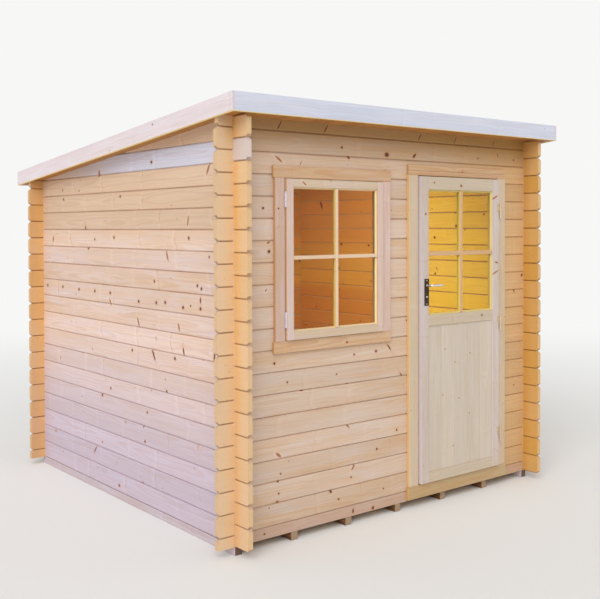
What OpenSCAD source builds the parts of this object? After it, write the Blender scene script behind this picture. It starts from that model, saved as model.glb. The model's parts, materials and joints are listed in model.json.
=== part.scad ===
// Small log cabin with a single-slope roof, a side-hung half-glazed door and one fixed-shown window.
// Millimetres, +Z up, front wall towards -Y. The origin is on the ground under the middle of the walls.

/* [Walls] */
// outer width of the walls, left to right
wall_w = 2330; // [2280:5:2600]
// outer depth of the walls, front to back
wall_d = 2374; // [2200:2:2700]
// height of one log course
log_h = 114; // [104:1:124]
// thickness of a log
log_t = 28; // [19:1:44]
// how far log ends run past the crossing
log_run = 100; // [70:1:140]
// how far the side walls' logs run past the front wall
side_run = 118; // [70:1:130]
// size of the bevel on each log edge
log_bevel = 7; // [3:1:9]
// corners taken off each free log end, above and below
log_nose = 16; // [4:1:24]
// full courses of the front wall from the one cut by the door's head up
over_rows = 2; // [2:1:3]
// courses by which the back wall is lower than the front wall
fall_rows = 2; // [1:1:3]
// least height left at the thin end of a tapered log
tip_h = 3; // [2:0.5:6]

/* [Base] */
// height of a floor bearer
bearer_h = 45; // [35:1:70]
// width of a floor bearer
bearer_w = 45; // [35:1:70]
// left edge of the second bearer from the left wall face
bearer_first = 359; // [300:1:380]
// spacing of the inner bearers
bearer_step = 382; // [340:1:385]
// thickness of the floor
floor_t = 18; // [12:1:24]
// gap between the floor and the walls
floor_gap = 3; // [1:0.5:8]

/* [Roof] */
// thickness of the roof boards
deck_t = 18; // [12:1:24]
// thickness of the felt
felt_t = 3; // [2:0.5:6]
// clearance of the roof boards over the log tops
roof_seat = 0.2; // [0.1:0.1:0.5]
// reach of the roof past the front and back walls
eave_reach = 156; // [120:1:260]
// reach of the roof past the side walls
side_reach = 112; // [104:1:200]
// height of the roof edge boards
edge_h = 97; // [80:1:140]
// thickness of the roof edge boards
edge_t = 18; // [12:1:28]
// drop of the edge boards below the roof boards
edge_drop = 14; // [4:1:30]
// purlin width
purlin_w = 45; // [35:1:70]
// purlin depth
purlin_h = 95; // [70:1:105]
// how far a purlin is housed in the side wall
purlin_seat = 14; // [8:1:18]

/* [Window] */
// how far the window stands right of the middle of its stretch of wall
win_shift = 36; // [0:1:60]
// sash width
sash_w = 690; // [560:1:710]
// underside of the sash above its opening in the logs
sash_rise = 49; // [42:1:60]
// top of the sash below the top of that opening
sash_drop = 19; // [17:1:30]
// sash thickness, all of it in front of the wall
sash_t = 30; // [26:1:44]
// width of the sash members
sash_member = 44; // [38:1:60]
// courses cut by the window opening
win_rows = 8; // [6:1:9]
// side gap between the logs and the sash line
win_side_gap = 40; // [30:1:50]
// frame overlap behind the sash
frame_lap = 16; // [10:1:24]
// gap on the hinge side of the sash
win_hinge_gap = 7; // [5:0.5:12]
// gap round the rest of the sash
win_gap = 3; // [2:0.5:5]
// glass thickness
glass_t = 4; // [3:0.5:6]
// depth of the glass behind the sash face
glass_depth = 18; // [14:1:20]
// window hinge barrel radius
barrel_r = 5.5; // [4:0.5:6]
// height of a window hinge barrel
barrel_h = 76; // [50:1:90]
// distance of the hinge barrels from the sash ends
barrel_in = 70; // [50:1:120]
// clearance of the hinge barrels to the sash
barrel_gap = 1; // [0.5:0.5:2]

/* [Trim] */
// width of the trim boards round the window
trim_w = 62; // [50:1:80]
// width of the trim boards round the door
door_trim_w = 75; // [60:1:85]
// height of the head trim above the door
door_head_h = 60; // [50:1:70]
// thickness of the upright trim boards
trim_t = 20; // [12:1:20]
// thickness of the head and sill trim boards
rail_trim_t = 16; // [10:1:16]
// how far head and sill boards pass the uprights
rail_trim_run = 8; // [4:1:16]
// inside trim thickness
inner_trim_t = 18; // [12:1:22]
// inside trim overlap on the logs
inner_trim_lap = 30; // [20:1:40]

/* [Door] */
// right edge of the door leaf from the right wall face
door_right = 320; // [270:1:340]
// leaf width
leaf_w = 707; // [640:1:740]
// leaf underside above the bearers
leaf_rise = 91; // [85:1:105]
// leaf height
leaf_h = 1814; // [1700:1:1960]
// opening in the logs beside the leaf, on the lock side
opening_left = 46; // [40:1:52]
// opening in the logs beside the leaf, on the hinge side
opening_right = 42; // [40:1:52]
// opening in the logs above the leaf
opening_head = 36; // [30:1:44]
// gap between the logs and the frames
frame_gap = 1; // [0.5:0.5:3]
// leaf thickness
leaf_t = 34; // [30:1:36]
// face of the door leaf in front of the wall
proud = 39; // [37:1:46]
// width of the stiles
stile_w = 64; // [56:1:80]
// height of the top rail
top_rail_h = 76; // [60:1:100]
// height of the middle rail
mid_rail_h = 64; // [50:1:90]
// underside of the glass above the foot of the leaf
glass_rise = 994; // [940:1:1040]
// height of the bottom rail
bottom_rail_h = 62; // [50:1:120]
// thickness of the lower panel
panel_t = 22; // [16:1:26]
// depth of the lower panel behind the leaf face
panel_depth = 6; // [3:0.5:10]
// gap between leaf and surround
leaf_gap = 6; // [5:0.5:9]
// overlap of the stops behind the leaf
stop_lap = 12; // [8:1:13]
// underside of the threshold above the bearers
sill_rise = 7; // [5:1:15]
// threshold projection in front of the wall
sill_out = 20; // [8:1:26]
// threshold run past the trim
sill_run = 8; // [4:1:24]

/* [Door hardware] */
// hinge knuckle radius
knuckle_r = 6; // [5:0.25:7]
// hinge pin radius
pin_r = 3.5; // [2.5:0.25:4]
// hinge running clearance
pin_clear = 0.3; // [0.1:0.05:0.5]
// hinge plate thickness
plate_t = 2.5; // [1.5:0.5:3]
// height of one knuckle
knuckle_h = 44; // [30:1:60]
// gap between the two knuckles of a hinge
knuckle_gap = 1; // [0.5:0.5:2]
// wood left over a pin hole
bore_end = 2; // [1.5:0.5:4]
// distance of the end hinges from the ends of the leaf
hinge_in = 200; // [150:1:260]
// length of the hinge plate on the leaf
leaf_plate = 20; // [16:1:40]
// length of the hinge plate on the trim
trim_plate = 16; // [12:1:30]
// lock plate width
lock_w = 38; // [30:1:44]
// lock plate height
lock_h = 158; // [140:1:190]
// lock plate thickness
lock_t = 3; // [2:0.5:4]
// top of the lock plates above the spindle
lock_up = 38; // [30:1:50]
// width of the inner lock plate
lock_in_w = 34; // [28:1:36]
// spindle height above the foot of the leaf
lever_rise = 1173; // [1110:1:1220]
// spindle distance from the leaf edge
lever_in = 44; // [34:1:44]
// spindle radius
spindle_r = 5; // [4:0.5:6]
// clearance of the spindle in its hole
spindle_gap = 0.5; // [0.3:0.1:1]
// lever grip radius
grip_r = 8; // [6:0.5:10]
// reach of the lever from the spindle
lever_reach = 98; // [80:1:125]
// stand-off of the outer grip from the leaf
lever_out = 44; // [36:1:60]
// stand-off of the inner grip from the leaf
lever_back = 40; // [34:1:56]

/* [Hidden] */
$fn = 40;
eps = 0.01;
h2 = log_h / 2;
h4 = log_h / 4;
base = bearer_h;
leaf_x1 = wall_w - door_right;
leaf_x = leaf_x1 - leaf_w;
leaf_z = base + leaf_rise;
leaf_z1 = leaf_z + leaf_h;
leaf_glass_z = leaf_z + glass_rise;
door_x0 = leaf_x - opening_left;
door_x1 = leaf_x1 + opening_right;
door_z1 = leaf_z1 + opening_head;
jamb_x0 = leaf_x + stop_lap;
jamb_x1 = leaf_x1 - stop_lap;
row_cut = floor((door_z1 - base - h2) / log_h);
front_courses = row_cut + over_rows;
back_courses = front_courses - fall_rows;
front_top = base + (front_courses + 1) * log_h;
back_top = base + (back_courses + 1) * log_h;
fall = (front_top - back_top) / wall_d;
pitch = atan(fall);
side_full = back_courses + 1;
side_all = front_courses + 1;
end_run = min(log_run, side_reach - edge_t - 2);
front_run = min(side_run, eave_reach - edge_t - 2);
nose_side = log_nose * sqrt(2);
roof_run = eave_reach + side_reach + log_h;
win_x = (log_t + leaf_x - leaf_gap - door_trim_w) / 2 + win_shift;
win_x0 = win_x - sash_w / 2 - win_side_gap;
win_x1 = win_x + sash_w / 2 + win_side_gap;
win_first = row_cut - win_rows;
win_z1 = base + h2 + row_cut * log_h;
win_z0 = win_z1 - win_rows * log_h;
sx0 = win_x - sash_w / 2;
sx1 = win_x + sash_w / 2;
sash_z = win_z0 + sash_rise;
sz1 = win_z1 - sash_drop;
sill_low = base + sill_rise;
hinge_x = leaf_x1 + leaf_gap / 2;
hinge_y = -proud - knuckle_r;
hinge_z = [leaf_z + hinge_in, leaf_z + leaf_h / 2, leaf_z1 - hinge_in];
glass_y = glass_depth - sash_t;
lever_x = leaf_x + min(lever_in, stile_w - lock_w / 2 - 1);
lever_z = leaf_z + lever_rise;

function zu(y) = front_top - fall * y;

module at_walls() {
  translate([-wall_w / 2, -wall_d / 2, 0]) children();
}

module box(x0, x1, y0, y1, z0, z1) {
  translate([x0, y0, z0]) cube([x1 - x0, y1 - y0, z1 - z0]);
}

// log section: thickness across, height up, with a bevel on the wanted edges
module section(hh, lo, hi) {
  cl = lo ? log_bevel : 0;
  ch = hi ? log_bevel : 0;
  pts = concat(
    lo ? [[cl, 0], [log_t - cl, 0], [log_t, cl]] : [[0, 0], [log_t, 0]],
    hi ? [[log_t, hh - ch], [log_t - ch, hh], [ch, hh], [0, hh - ch]] : [[log_t, hh], [0, hh]],
    lo ? [[0, cl]] : []);
  polygon(pts);
}

// a log along X with its front face at y0
module log_x(x0, x1, y0, z0, z1, lo, hi) {
  translate([x0, y0, z0]) rotate([90, 0, 90]) linear_extrude(x1 - x0) section(z1 - z0, lo, hi);
}

// a log along Y with its left face at x0
module log_y(y0, y1, x0, z0, z1, lo, hi) {
  translate([x0, y1, z0]) rotate([90, 0, 0]) linear_extrude(y1 - y0) section(z1 - z0, lo, hi);
}

// what bevels the corner of a log end: the corner's edge runs along Y at (x, z)
module nose_x(x, y0, z) {
  translate([x, y0 + log_t / 2, z]) rotate([0, 45, 0]) cube([nose_side, log_t + 2, nose_side], center = true);
}

// the same where the edge runs along X at (y, z)
module nose_y(y, x0, z) {
  translate([x0 + log_t / 2, y, z]) rotate([45, 0, 0]) cube([log_t + 2, nose_side, nose_side], center = true);
}

module above_roof() {
  y0 = -roof_run;
  y1 = wall_d + roof_run;
  rotate([90, 0, 90]) translate([0, 0, -roof_run]) linear_extrude(wall_w + 2 * roof_run)
    polygon([[y0, zu(y0)], [y1, zu(y1)], [y1, front_top + roof_run], [y0, front_top + roof_run]]);
}

module purlin_at(i, seat) {
  yc = wall_d * i / 3;
  translate([log_t - seat, yc, zu(yc)]) rotate([-pitch, 0, 0]) translate([0, -purlin_w / 2, -purlin_h])
    cube([wall_w - 2 * log_t + 2 * seat, purlin_w, purlin_h]);
}

// one course of a side wall
module side_log(k, x0) {
  z0 = base + k * log_h;
  tip = (front_top - z0 - tip_h) / fall;
  tapered = k >= side_full;
  y1 = tapered ? min(tip, wall_d - log_t) : wall_d + log_run;
  difference() {
    log_y(-front_run, y1, x0, z0, z0 + log_h, true, true);
    for (y = [0, wall_d - log_t])
      for (z = [z0 - h4, z0 + 3 * h4])
        box(x0 - 1, x0 + log_t + 1, y, y + log_t, z, z + 2 * h4);
    for (y = tapered ? [-front_run] : [-front_run, y1], z = [z0, z0 + log_h]) nose_y(y, x0, z);
    if (k >= side_full - 1) above_roof();
    if (k >= side_full - 2) for (i = [1, 2]) purlin_at(i, purlin_seat);
  }
}

module side_wall(x0, odd) {
  for (k = [0:side_all - 1]) if (abs(row_cut - k) % 2 == odd) side_log(k, x0);
}

// a stretch of one course of the front or back wall; j = -1 is the bottom half log
module cross_log(j, x0, x1, y0, rows) {
  z0 = j < 0 ? base : base + h2 + j * log_h;
  z1 = j < 0 ? base + h2 : j == rows ? base + (rows + 1) * log_h : base + h2 + (j + 1) * log_h;
  difference() {
    log_x(x0, x1, y0, z0, z1, j >= 0, j < rows);
    for (x = [0, wall_w - log_t]) {
      if (j >= 0) box(x, x + log_t, y0 - 1, y0 + log_t + 1, z0 - h4, z0 + h4);
      if (j < rows) box(x, x + log_t, y0 - 1, y0 + log_t + 1, z1 - h4, z1 + h4);
    }
    for (x = [x0, x1]) if (x < 0 || x > wall_w) {
      if (j >= 0) nose_x(x, y0, z0);
      if (j < rows) nose_x(x, y0, z1);
    }
    if (j >= rows) above_roof();
    if (j == row_cut && y0 < wall_d / 2) box(door_x0, door_x1, y0 - 1, y0 + log_t + 1, z0 - 1, door_z1);
  }
}

module floor_bearers() {
  xs = concat([0], [for (i = [0:4]) bearer_first + i * bearer_step], [wall_w - bearer_w]);
  color("#a9793c") at_walls() for (x = xs) box(x, x + bearer_w, 0, wall_d, 0, bearer_h);
}

module floor_base() {
  g = log_t + floor_gap;
  color("#cfa263") at_walls() box(g, wall_w - g, g, wall_d - g, base, base + floor_t);
}

module left_logs_a() { color("#e3c193") at_walls() side_wall(0, 0); }
module left_logs_b() { color("#dcb988") at_walls() side_wall(0, 1); }
module right_logs_a() { color("#e3c193") at_walls() side_wall(wall_w - log_t, 0); }
module right_logs_b() { color("#dcb988") at_walls() side_wall(wall_w - log_t, 1); }

module back_wall(odd) {
  for (j = [-1:back_courses]) if ((row_cut - j) % 2 == odd) {
    run = j == back_courses ? end_run : log_run;
    cross_log(j, -run, wall_w + run, wall_d - log_t, back_courses);
  }
}
module back_logs_a() { color("#e3c193") at_walls() back_wall(0); }
module back_logs_b() { color("#dcb988") at_walls() back_wall(1); }

module front_left(odd) {
  for (j = [-1:row_cut - 1]) if ((row_cut - j) % 2 == odd) {
    beside = j >= win_first && j < win_first + win_rows;
    cross_log(j, -log_run, beside ? win_x0 : door_x0, 0, front_courses);
    if (beside) cross_log(j, win_x1, door_x0, 0, front_courses);
  }
}
module front_left_logs_a() { color("#e3c193") at_walls() front_left(0); }
module front_left_logs_b() { color("#dcb988") at_walls() front_left(1); }

module front_right(odd) {
  for (j = [-1:row_cut - 1]) if ((row_cut - j) % 2 == odd)
    cross_log(j, door_x1, wall_w + log_run, 0, front_courses);
}
module front_right_logs_a() { color("#e3c193") at_walls() front_right(0); }
module front_right_logs_b() { color("#dcb988") at_walls() front_right(1); }

module front_top(odd) {
  for (j = [row_cut:front_courses]) if ((j - row_cut) % 2 == odd) {
    run = j == front_courses ? end_run : log_run;
    cross_log(j, -run, wall_w + run, 0, front_courses);
  }
}
module front_top_logs_a() { color("#e3c193") at_walls() front_top(0); }
module front_top_logs_b() { color("#dcb988") at_walls() front_top(1); }

module purlins() {
  color("#d2a668") at_walls() for (i = [1, 2]) purlin_at(i, purlin_seat);
}

// a sloping slab following the roof, from lo to hi above the log tops
module slope_slab(x0, x1, y0, y1, lo, hi) {
  translate([x0, 0, 0]) rotate([90, 0, 90]) linear_extrude(x1 - x0)
    polygon([[y0, zu(y0) + lo], [y1, zu(y1) + lo], [y1, zu(y1) + hi], [y0, zu(y0) + hi]]);
}

roof_y0 = -eave_reach;
roof_y1 = wall_d + eave_reach;
roof_x0 = -side_reach;
roof_x1 = wall_w + side_reach;

module roof_deck() {
  color("#d7ae72") at_walls()
    slope_slab(roof_x0 + edge_t, roof_x1 - edge_t, roof_y0 + edge_t, roof_y1 - edge_t,
      roof_seat, deck_t);
}
module roof_felt() {
  color("#4a4d4c") at_walls() slope_slab(roof_x0 + edge_t, roof_x1 - edge_t, roof_y0 + edge_t,
    roof_y1 - edge_t, deck_t, deck_t + felt_t);
}
module front_fascia() {
  z0 = zu(roof_y0) - edge_drop;
  color("#dcdde6") at_walls()
    box(roof_x0 + edge_t, roof_x1 - edge_t, roof_y0, roof_y0 + edge_t, z0, z0 + edge_h);
}
module back_fascia() {
  color("#dcdde6") at_walls() slope_slab(roof_x0 + edge_t, roof_x1 - edge_t, roof_y1 - edge_t, roof_y1,
    -edge_drop, deck_t + felt_t);
}
module side_fascias() {
  color("#dcdde6") at_walls() for (x = [roof_x0, roof_x1 - edge_t])
    slope_slab(x, x + edge_t, roof_y0, roof_y1, -edge_drop, edge_h - edge_drop);
}

module window_frame() {
  color("#e6cda3") at_walls() difference() {
    box(win_x0 + frame_gap, win_x1 - frame_gap, 0, log_t, win_z0 + frame_gap, win_z1 - frame_gap);
    box(sx0 + frame_lap, sx1 - frame_lap, -1, log_t + 1, sash_z + frame_lap, sz1 - frame_lap);
  }
}
tx0 = sx0 - win_hinge_gap;
tx1 = sx1 + win_gap;
tz0 = sash_z - win_gap;
tz1 = sz1 + win_gap;
module window_trim_uprights() {
  color("#e8d3b4") at_walls() {
    box(tx0 - trim_w, tx0, -trim_t, 0, tz0, tz1);
    box(tx1, tx1 + trim_w, -trim_t, 0, tz0, tz1);
  }
}
module window_trim_rails() {
  color("#e6cba2") at_walls() for (z = [tz0 - trim_w, tz1])
    box(tx0 - trim_w - rail_trim_run, tx1 + trim_w + rail_trim_run, -rail_trim_t, 0, z, z + trim_w);
}
module window_inner_trim() {
  y1 = log_t + inner_trim_t;
  color("#e6cda3") at_walls() difference() {
    box(win_x0 - inner_trim_lap, win_x1 + inner_trim_lap, log_t, y1, win_z0 - inner_trim_lap,
      win_z1 + inner_trim_lap);
    box(sx0 + frame_lap, sx1 - frame_lap, log_t - 1, y1 + 1, sash_z + frame_lap, sz1 - frame_lap);
  }
}
module sash_stiles() {
  color("#e9dccb") at_walls() for (x = [sx0, sx1 - sash_member])
    box(x, x + sash_member, -sash_t, 0, sash_z, sz1);
}
module sash_rails() {
  color("#e9dabd") at_walls() for (z = [sash_z, sz1 - sash_member])
    box(sx0 + sash_member, sx1 - sash_member, -sash_t, 0, z, z + sash_member);
}
module window_glass() {
  color("#dfe9e6", 0.35) at_walls() box(sx0 + sash_member, sx1 - sash_member, glass_y, glass_y + glass_t,
    sash_z + sash_member, sz1 - sash_member);
}
module window_hinges() {
  color("#c8cbd0") at_walls() for (z = [sash_z + barrel_in, sz1 - barrel_in - barrel_h])
    translate([sx0 - barrel_gap - barrel_r, -trim_t - barrel_r, z]) {
      cylinder(r = barrel_r, h = barrel_h);
      translate([-barrel_r, 0, 0]) cube([barrel_r, barrel_r, barrel_h]);
    }
}

module door_jambs() {
  color("#e6cda3") at_walls() {
    box(door_x0 + frame_gap, jamb_x0, 0, log_t, sill_low, door_z1 - frame_gap);
    box(jamb_x1, door_x1 - frame_gap, 0, log_t, sill_low, door_z1 - frame_gap);
  }
}
module door_head() {
  color("#e6cda3") at_walls() box(jamb_x0, jamb_x1, 0, log_t, leaf_z1 - stop_lap,
    door_z1 - frame_gap);
}
module threshold() {
  zt = leaf_z - leaf_gap;
  fx0 = leaf_x - leaf_gap - door_trim_w - sill_run;
  fx1 = leaf_x1 + leaf_gap + door_trim_w + sill_run;
  color("#d9bd8f") at_walls() {
    box(fx0, fx1, -sill_out, 0, sill_low, zt);
    box(jamb_x0, jamb_x1, -eps, log_t, sill_low, leaf_z + stop_lap);
  }
}
module door_trim_uprights() {
  z0 = leaf_z - leaf_gap;
  z1 = leaf_z1 + leaf_gap;
  color("#e8d3b4") at_walls() {
    box(leaf_x - leaf_gap - door_trim_w, leaf_x - leaf_gap, -trim_t, 0, z0, z1);
    box(leaf_x1 + leaf_gap, leaf_x1 + leaf_gap + door_trim_w, -trim_t, 0, z0, z1);
  }
}
module door_trim_head() {
  z = leaf_z1 + leaf_gap;
  run = leaf_gap + door_trim_w;
  color("#e6cba2") at_walls() box(leaf_x - run, leaf_x1 + run, -rail_trim_t, 0, z, z + door_head_h);
}
module door_inner_trim() {
  y1 = log_t + inner_trim_t;
  color("#e6cda3") at_walls() difference() {
    box(door_x0 - inner_trim_lap, door_x1 + inner_trim_lap, log_t, y1, base + floor_t,
      door_z1 + inner_trim_lap);
    box(jamb_x0, jamb_x1, log_t - 1, y1 + 1, base + floor_t - 1, leaf_z1 - stop_lap);
  }
}

// fixed half of a hinge: plate on the trim, web, lower knuckle and pin
module hinge_fixed(z) {
  wx = knuckle_r - plate_t + 1;
  zk = -knuckle_h - knuckle_gap;
  translate([hinge_x, hinge_y, z]) {
    translate([0, 0, zk]) cylinder(r = knuckle_r, h = knuckle_h);
    translate([0, 0, -knuckle_gap - bore_end]) cylinder(r = pin_r, h = knuckle_h);
    translate([wx, 0, zk]) cube([plate_t, -hinge_y - trim_t, knuckle_h]);
    translate([wx, -hinge_y - trim_t - plate_t, zk]) cube([trim_plate, plate_t, knuckle_h]);
  }
}
module hinge_pins() {
  color("#9aa0a6") at_walls() for (z = hinge_z) hinge_fixed(z);
}
// moving half: plate on the leaf and the upper knuckle with its bore
module hinge_moving(z) {
  translate([hinge_x, hinge_y, z]) difference() {
    union() {
      cylinder(r = knuckle_r, h = knuckle_h);
      translate([-leaf_plate, knuckle_r - plate_t, 0]) cube([leaf_plate, plate_t, knuckle_h]);
    }
    translate([0, 0, -knuckle_gap]) cylinder(r = pin_r + pin_clear, h = knuckle_h + knuckle_gap - bore_end);
  }
}
module hinge_leaves() {
  color("#b9bdc2") at_walls() for (z = hinge_z) hinge_moving(z);
}

module spindle_hole() {
  y0 = -proud - 2 * lock_t;
  y1 = leaf_t - proud + 2 * lock_t;
  translate([lever_x, y1, lever_z]) rotate([90, 0, 0]) cylinder(r = spindle_r + spindle_gap, h = y1 - y0);
}
module door_stiles() {
  color("#e4dccb") at_walls() difference() {
    for (x = [leaf_x, leaf_x1 - stile_w]) box(x, x + stile_w, -proud, leaf_t - proud, leaf_z, leaf_z1);
    spindle_hole();
  }
}
module door_rails() {
  x0 = leaf_x + stile_w;
  x1 = leaf_x1 - stile_w;
  color("#e4dbc4") at_walls() {
    box(x0, x1, -proud, leaf_t - proud, leaf_z, leaf_z + bottom_rail_h);
    box(x0, x1, -proud, leaf_t - proud, leaf_glass_z - mid_rail_h, leaf_glass_z);
    box(x0, x1, -proud, leaf_t - proud, leaf_z1 - top_rail_h, leaf_z1);
  }
}
module door_panel() {
  color("#ddd3bf") at_walls() box(leaf_x + stile_w, leaf_x1 - stile_w, panel_depth - proud,
    panel_depth + panel_t - proud, leaf_z + bottom_rail_h, leaf_glass_z - mid_rail_h);
}
module door_glass() {
  y0 = -proud + leaf_t / 2;
  color("#dfe9e6", 0.35) at_walls() box(leaf_x + stile_w, leaf_x1 - stile_w, y0, y0 + glass_t,
    leaf_glass_z, leaf_z1 - top_rail_h);
}
module lock_plates() {
  z0 = lever_z + lock_up - lock_h;
  x1 = lever_x + lock_w / 2;
  color("#4b4a48") at_walls() difference() {
    union() {
      box(x1 - lock_w, x1, -proud - lock_t, -proud, z0, z0 + lock_h);
      box(x1 - lock_in_w, x1, leaf_t - proud, leaf_t - proud + lock_t, z0, z0 + lock_h);
    }
    spindle_hole();
  }
}
// a lever arm: round bar along X with its root over the spindle
module lever_arm(y) {
  translate([-grip_r, y, 0]) rotate([0, 90, 0]) cylinder(r = grip_r, h = lever_reach + 2 * grip_r);
}
module lever_neck(y0, y1) {
  translate([0, y1, 0]) rotate([90, 0, 0]) cylinder(r = grip_r - 1, h = y1 - y0);
}
module door_lever() {
  y_out = -proud - lever_out;
  y_in = leaf_t - proud + lever_back;
  color("#c9ccd1") at_walls() translate([lever_x, 0, lever_z]) {
    lever_arm(y_out);
    lever_arm(y_in);
    lever_neck(y_out, -proud - lock_t - spindle_gap);
    lever_neck(leaf_t - proud + lock_t + spindle_gap, y_in);
    translate([0, y_in, 0]) rotate([90, 0, 0]) cylinder(r = spindle_r, h = y_in - y_out);
  }
}

floor_bearers();
floor_base();
left_logs_a();
left_logs_b();
right_logs_a();
right_logs_b();
back_logs_a();
back_logs_b();
front_left_logs_a();
front_left_logs_b();
front_right_logs_a();
front_right_logs_b();
front_top_logs_a();
front_top_logs_b();
purlins();
roof_deck();
roof_felt();
front_fascia();
back_fascia();
side_fascias();
window_frame();
window_trim_uprights();
window_trim_rails();
window_inner_trim();
sash_stiles();
sash_rails();
window_glass();
window_hinges();
door_jambs();
door_head();
threshold();
door_trim_uprights();
door_trim_head();
door_inner_trim();
hinge_pins();
door_stiles();
door_rails();
door_panel();
door_glass();
hinge_leaves();
lock_plates();
door_lever();
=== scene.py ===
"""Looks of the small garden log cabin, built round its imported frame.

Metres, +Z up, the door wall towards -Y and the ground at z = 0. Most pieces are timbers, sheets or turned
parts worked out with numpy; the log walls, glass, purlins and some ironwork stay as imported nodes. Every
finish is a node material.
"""

import json
import logging
import math
from dataclasses import dataclass
from enum import Enum
from typing import Any, Iterable, Sequence

import bpy
import numpy as np
from mathutils import Matrix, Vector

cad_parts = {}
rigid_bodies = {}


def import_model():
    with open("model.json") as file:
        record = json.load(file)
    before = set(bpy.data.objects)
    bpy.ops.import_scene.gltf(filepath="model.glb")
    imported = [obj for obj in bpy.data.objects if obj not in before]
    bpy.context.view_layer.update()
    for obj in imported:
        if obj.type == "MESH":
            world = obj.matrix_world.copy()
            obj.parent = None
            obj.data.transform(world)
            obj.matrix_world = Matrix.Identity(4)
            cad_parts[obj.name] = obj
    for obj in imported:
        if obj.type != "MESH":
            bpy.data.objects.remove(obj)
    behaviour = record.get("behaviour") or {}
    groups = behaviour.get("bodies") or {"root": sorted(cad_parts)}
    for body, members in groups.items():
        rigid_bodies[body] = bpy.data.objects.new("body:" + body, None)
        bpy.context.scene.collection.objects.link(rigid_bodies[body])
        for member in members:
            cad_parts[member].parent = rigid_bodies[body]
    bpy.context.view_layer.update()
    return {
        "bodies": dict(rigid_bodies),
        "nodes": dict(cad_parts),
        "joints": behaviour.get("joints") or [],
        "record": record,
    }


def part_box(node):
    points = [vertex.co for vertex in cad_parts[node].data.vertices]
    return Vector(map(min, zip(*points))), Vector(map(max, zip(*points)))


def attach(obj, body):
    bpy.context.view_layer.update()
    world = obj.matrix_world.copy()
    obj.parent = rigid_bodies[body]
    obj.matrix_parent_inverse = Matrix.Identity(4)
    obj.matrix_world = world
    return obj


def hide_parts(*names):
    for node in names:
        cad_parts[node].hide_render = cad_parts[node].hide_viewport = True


log = logging.getLogger("cabin")

Array = np.ndarray
Colour = tuple[float, float, float]
Point = tuple[float, float, float]

# Sizes that several sub-assemblies share, in metres.
LOG_H = 0.114
LOG_T = 0.028
BASE_H = 0.045
WALL_W = 2.330
WALL_D = 2.374
HALF_W = WALL_W / 2
HALF_D = WALL_D / 2
WALL_TOP = BASE_H + 19 * LOG_H
CROSS_Z = 1.494


def shade(red: float, green: float, blue: float) -> Colour:
    """Turns a colour given as 0 to 255 display values into linear values."""
    parts = np.array([red, green, blue]) / 255.0
    linear = np.where(parts <= 0.04045, parts / 12.92, ((parts + 0.055) / 1.055) ** 2.4)
    return (float(linear[0]), float(linear[1]), float(linear[2]))


# ---------------------------------------------------------------------------------------------------
# Shader values
# ---------------------------------------------------------------------------------------------------


@dataclass(frozen=True)
class Val:
    """A value that varies over a surface: a shader socket with arithmetic."""

    sheet: "Sheet"
    socket: bpy.types.NodeSocket

    def _math(self, kind: str, first: Any, second: Any = 0.0) -> "Val":
        """Adds one Math node of the given kind."""
        return self.sheet.val("ShaderNodeMath", {"operation": kind}, {0: first, 1: second})

    def __add__(self, other: "Val | float") -> "Val":
        """Sum."""
        return self._math("ADD", self, other)

    __radd__ = __add__

    def __sub__(self, other: "Val | float") -> "Val":
        """Difference."""
        return self._math("SUBTRACT", self, other)

    def __rsub__(self, other: float) -> "Val":
        """Difference from a plain number."""
        return self._math("SUBTRACT", other, self)

    def __mul__(self, other: "Val | float") -> "Val":
        """Product."""
        return self._math("MULTIPLY", self, other)

    __rmul__ = __mul__

    def __truediv__(self, other: "Val | float") -> "Val":
        """Quotient."""
        return self._math("DIVIDE", self, other)

    def __rtruediv__(self, other: float) -> "Val":
        """A plain number over this value."""
        return self._math("DIVIDE", other, self)

    def __pow__(self, other: float) -> "Val":
        """Power."""
        return self._math("POWER", self, other)

    def __neg__(self) -> "Val":
        """Opposite."""
        return self._math("MULTIPLY", self, -1.0)

    def __abs__(self) -> "Val":
        """Size without its sign."""
        return self._math("ABSOLUTE", self)

    def floor(self) -> "Val":
        """Largest whole number below."""
        return self._math("FLOOR", self)

    def part(self) -> "Val":
        """What is left above the whole number below."""
        return self._math("FRACT", self)

    def sin(self) -> "Val":
        """Sine of the value in radians."""
        return self._math("SINE", self)

    def root(self) -> "Val":
        """Square root."""
        return self._math("SQRT", self)

    def least(self, other: "Val | float") -> "Val":
        """The smaller of the two."""
        return self._math("MINIMUM", self, other)

    def most(self, other: "Val | float") -> "Val":
        """The larger of the two."""
        return self._math("MAXIMUM", self, other)

    def above(self, edge: float) -> "Val":
        """1 where the value is over the edge, 0 elsewhere."""
        return self._math("GREATER_THAN", self, edge)

    def ease(self, low: float, high: float) -> "Val":
        """Rises smoothly from 0 at low to 1 at high, or falls when low is over high."""
        return self.sheet.val("ShaderNodeMapRange", {"interpolation_type": "SMOOTHSTEP"},
                              {"Value": self, "From Min": low, "From Max": high})


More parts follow.
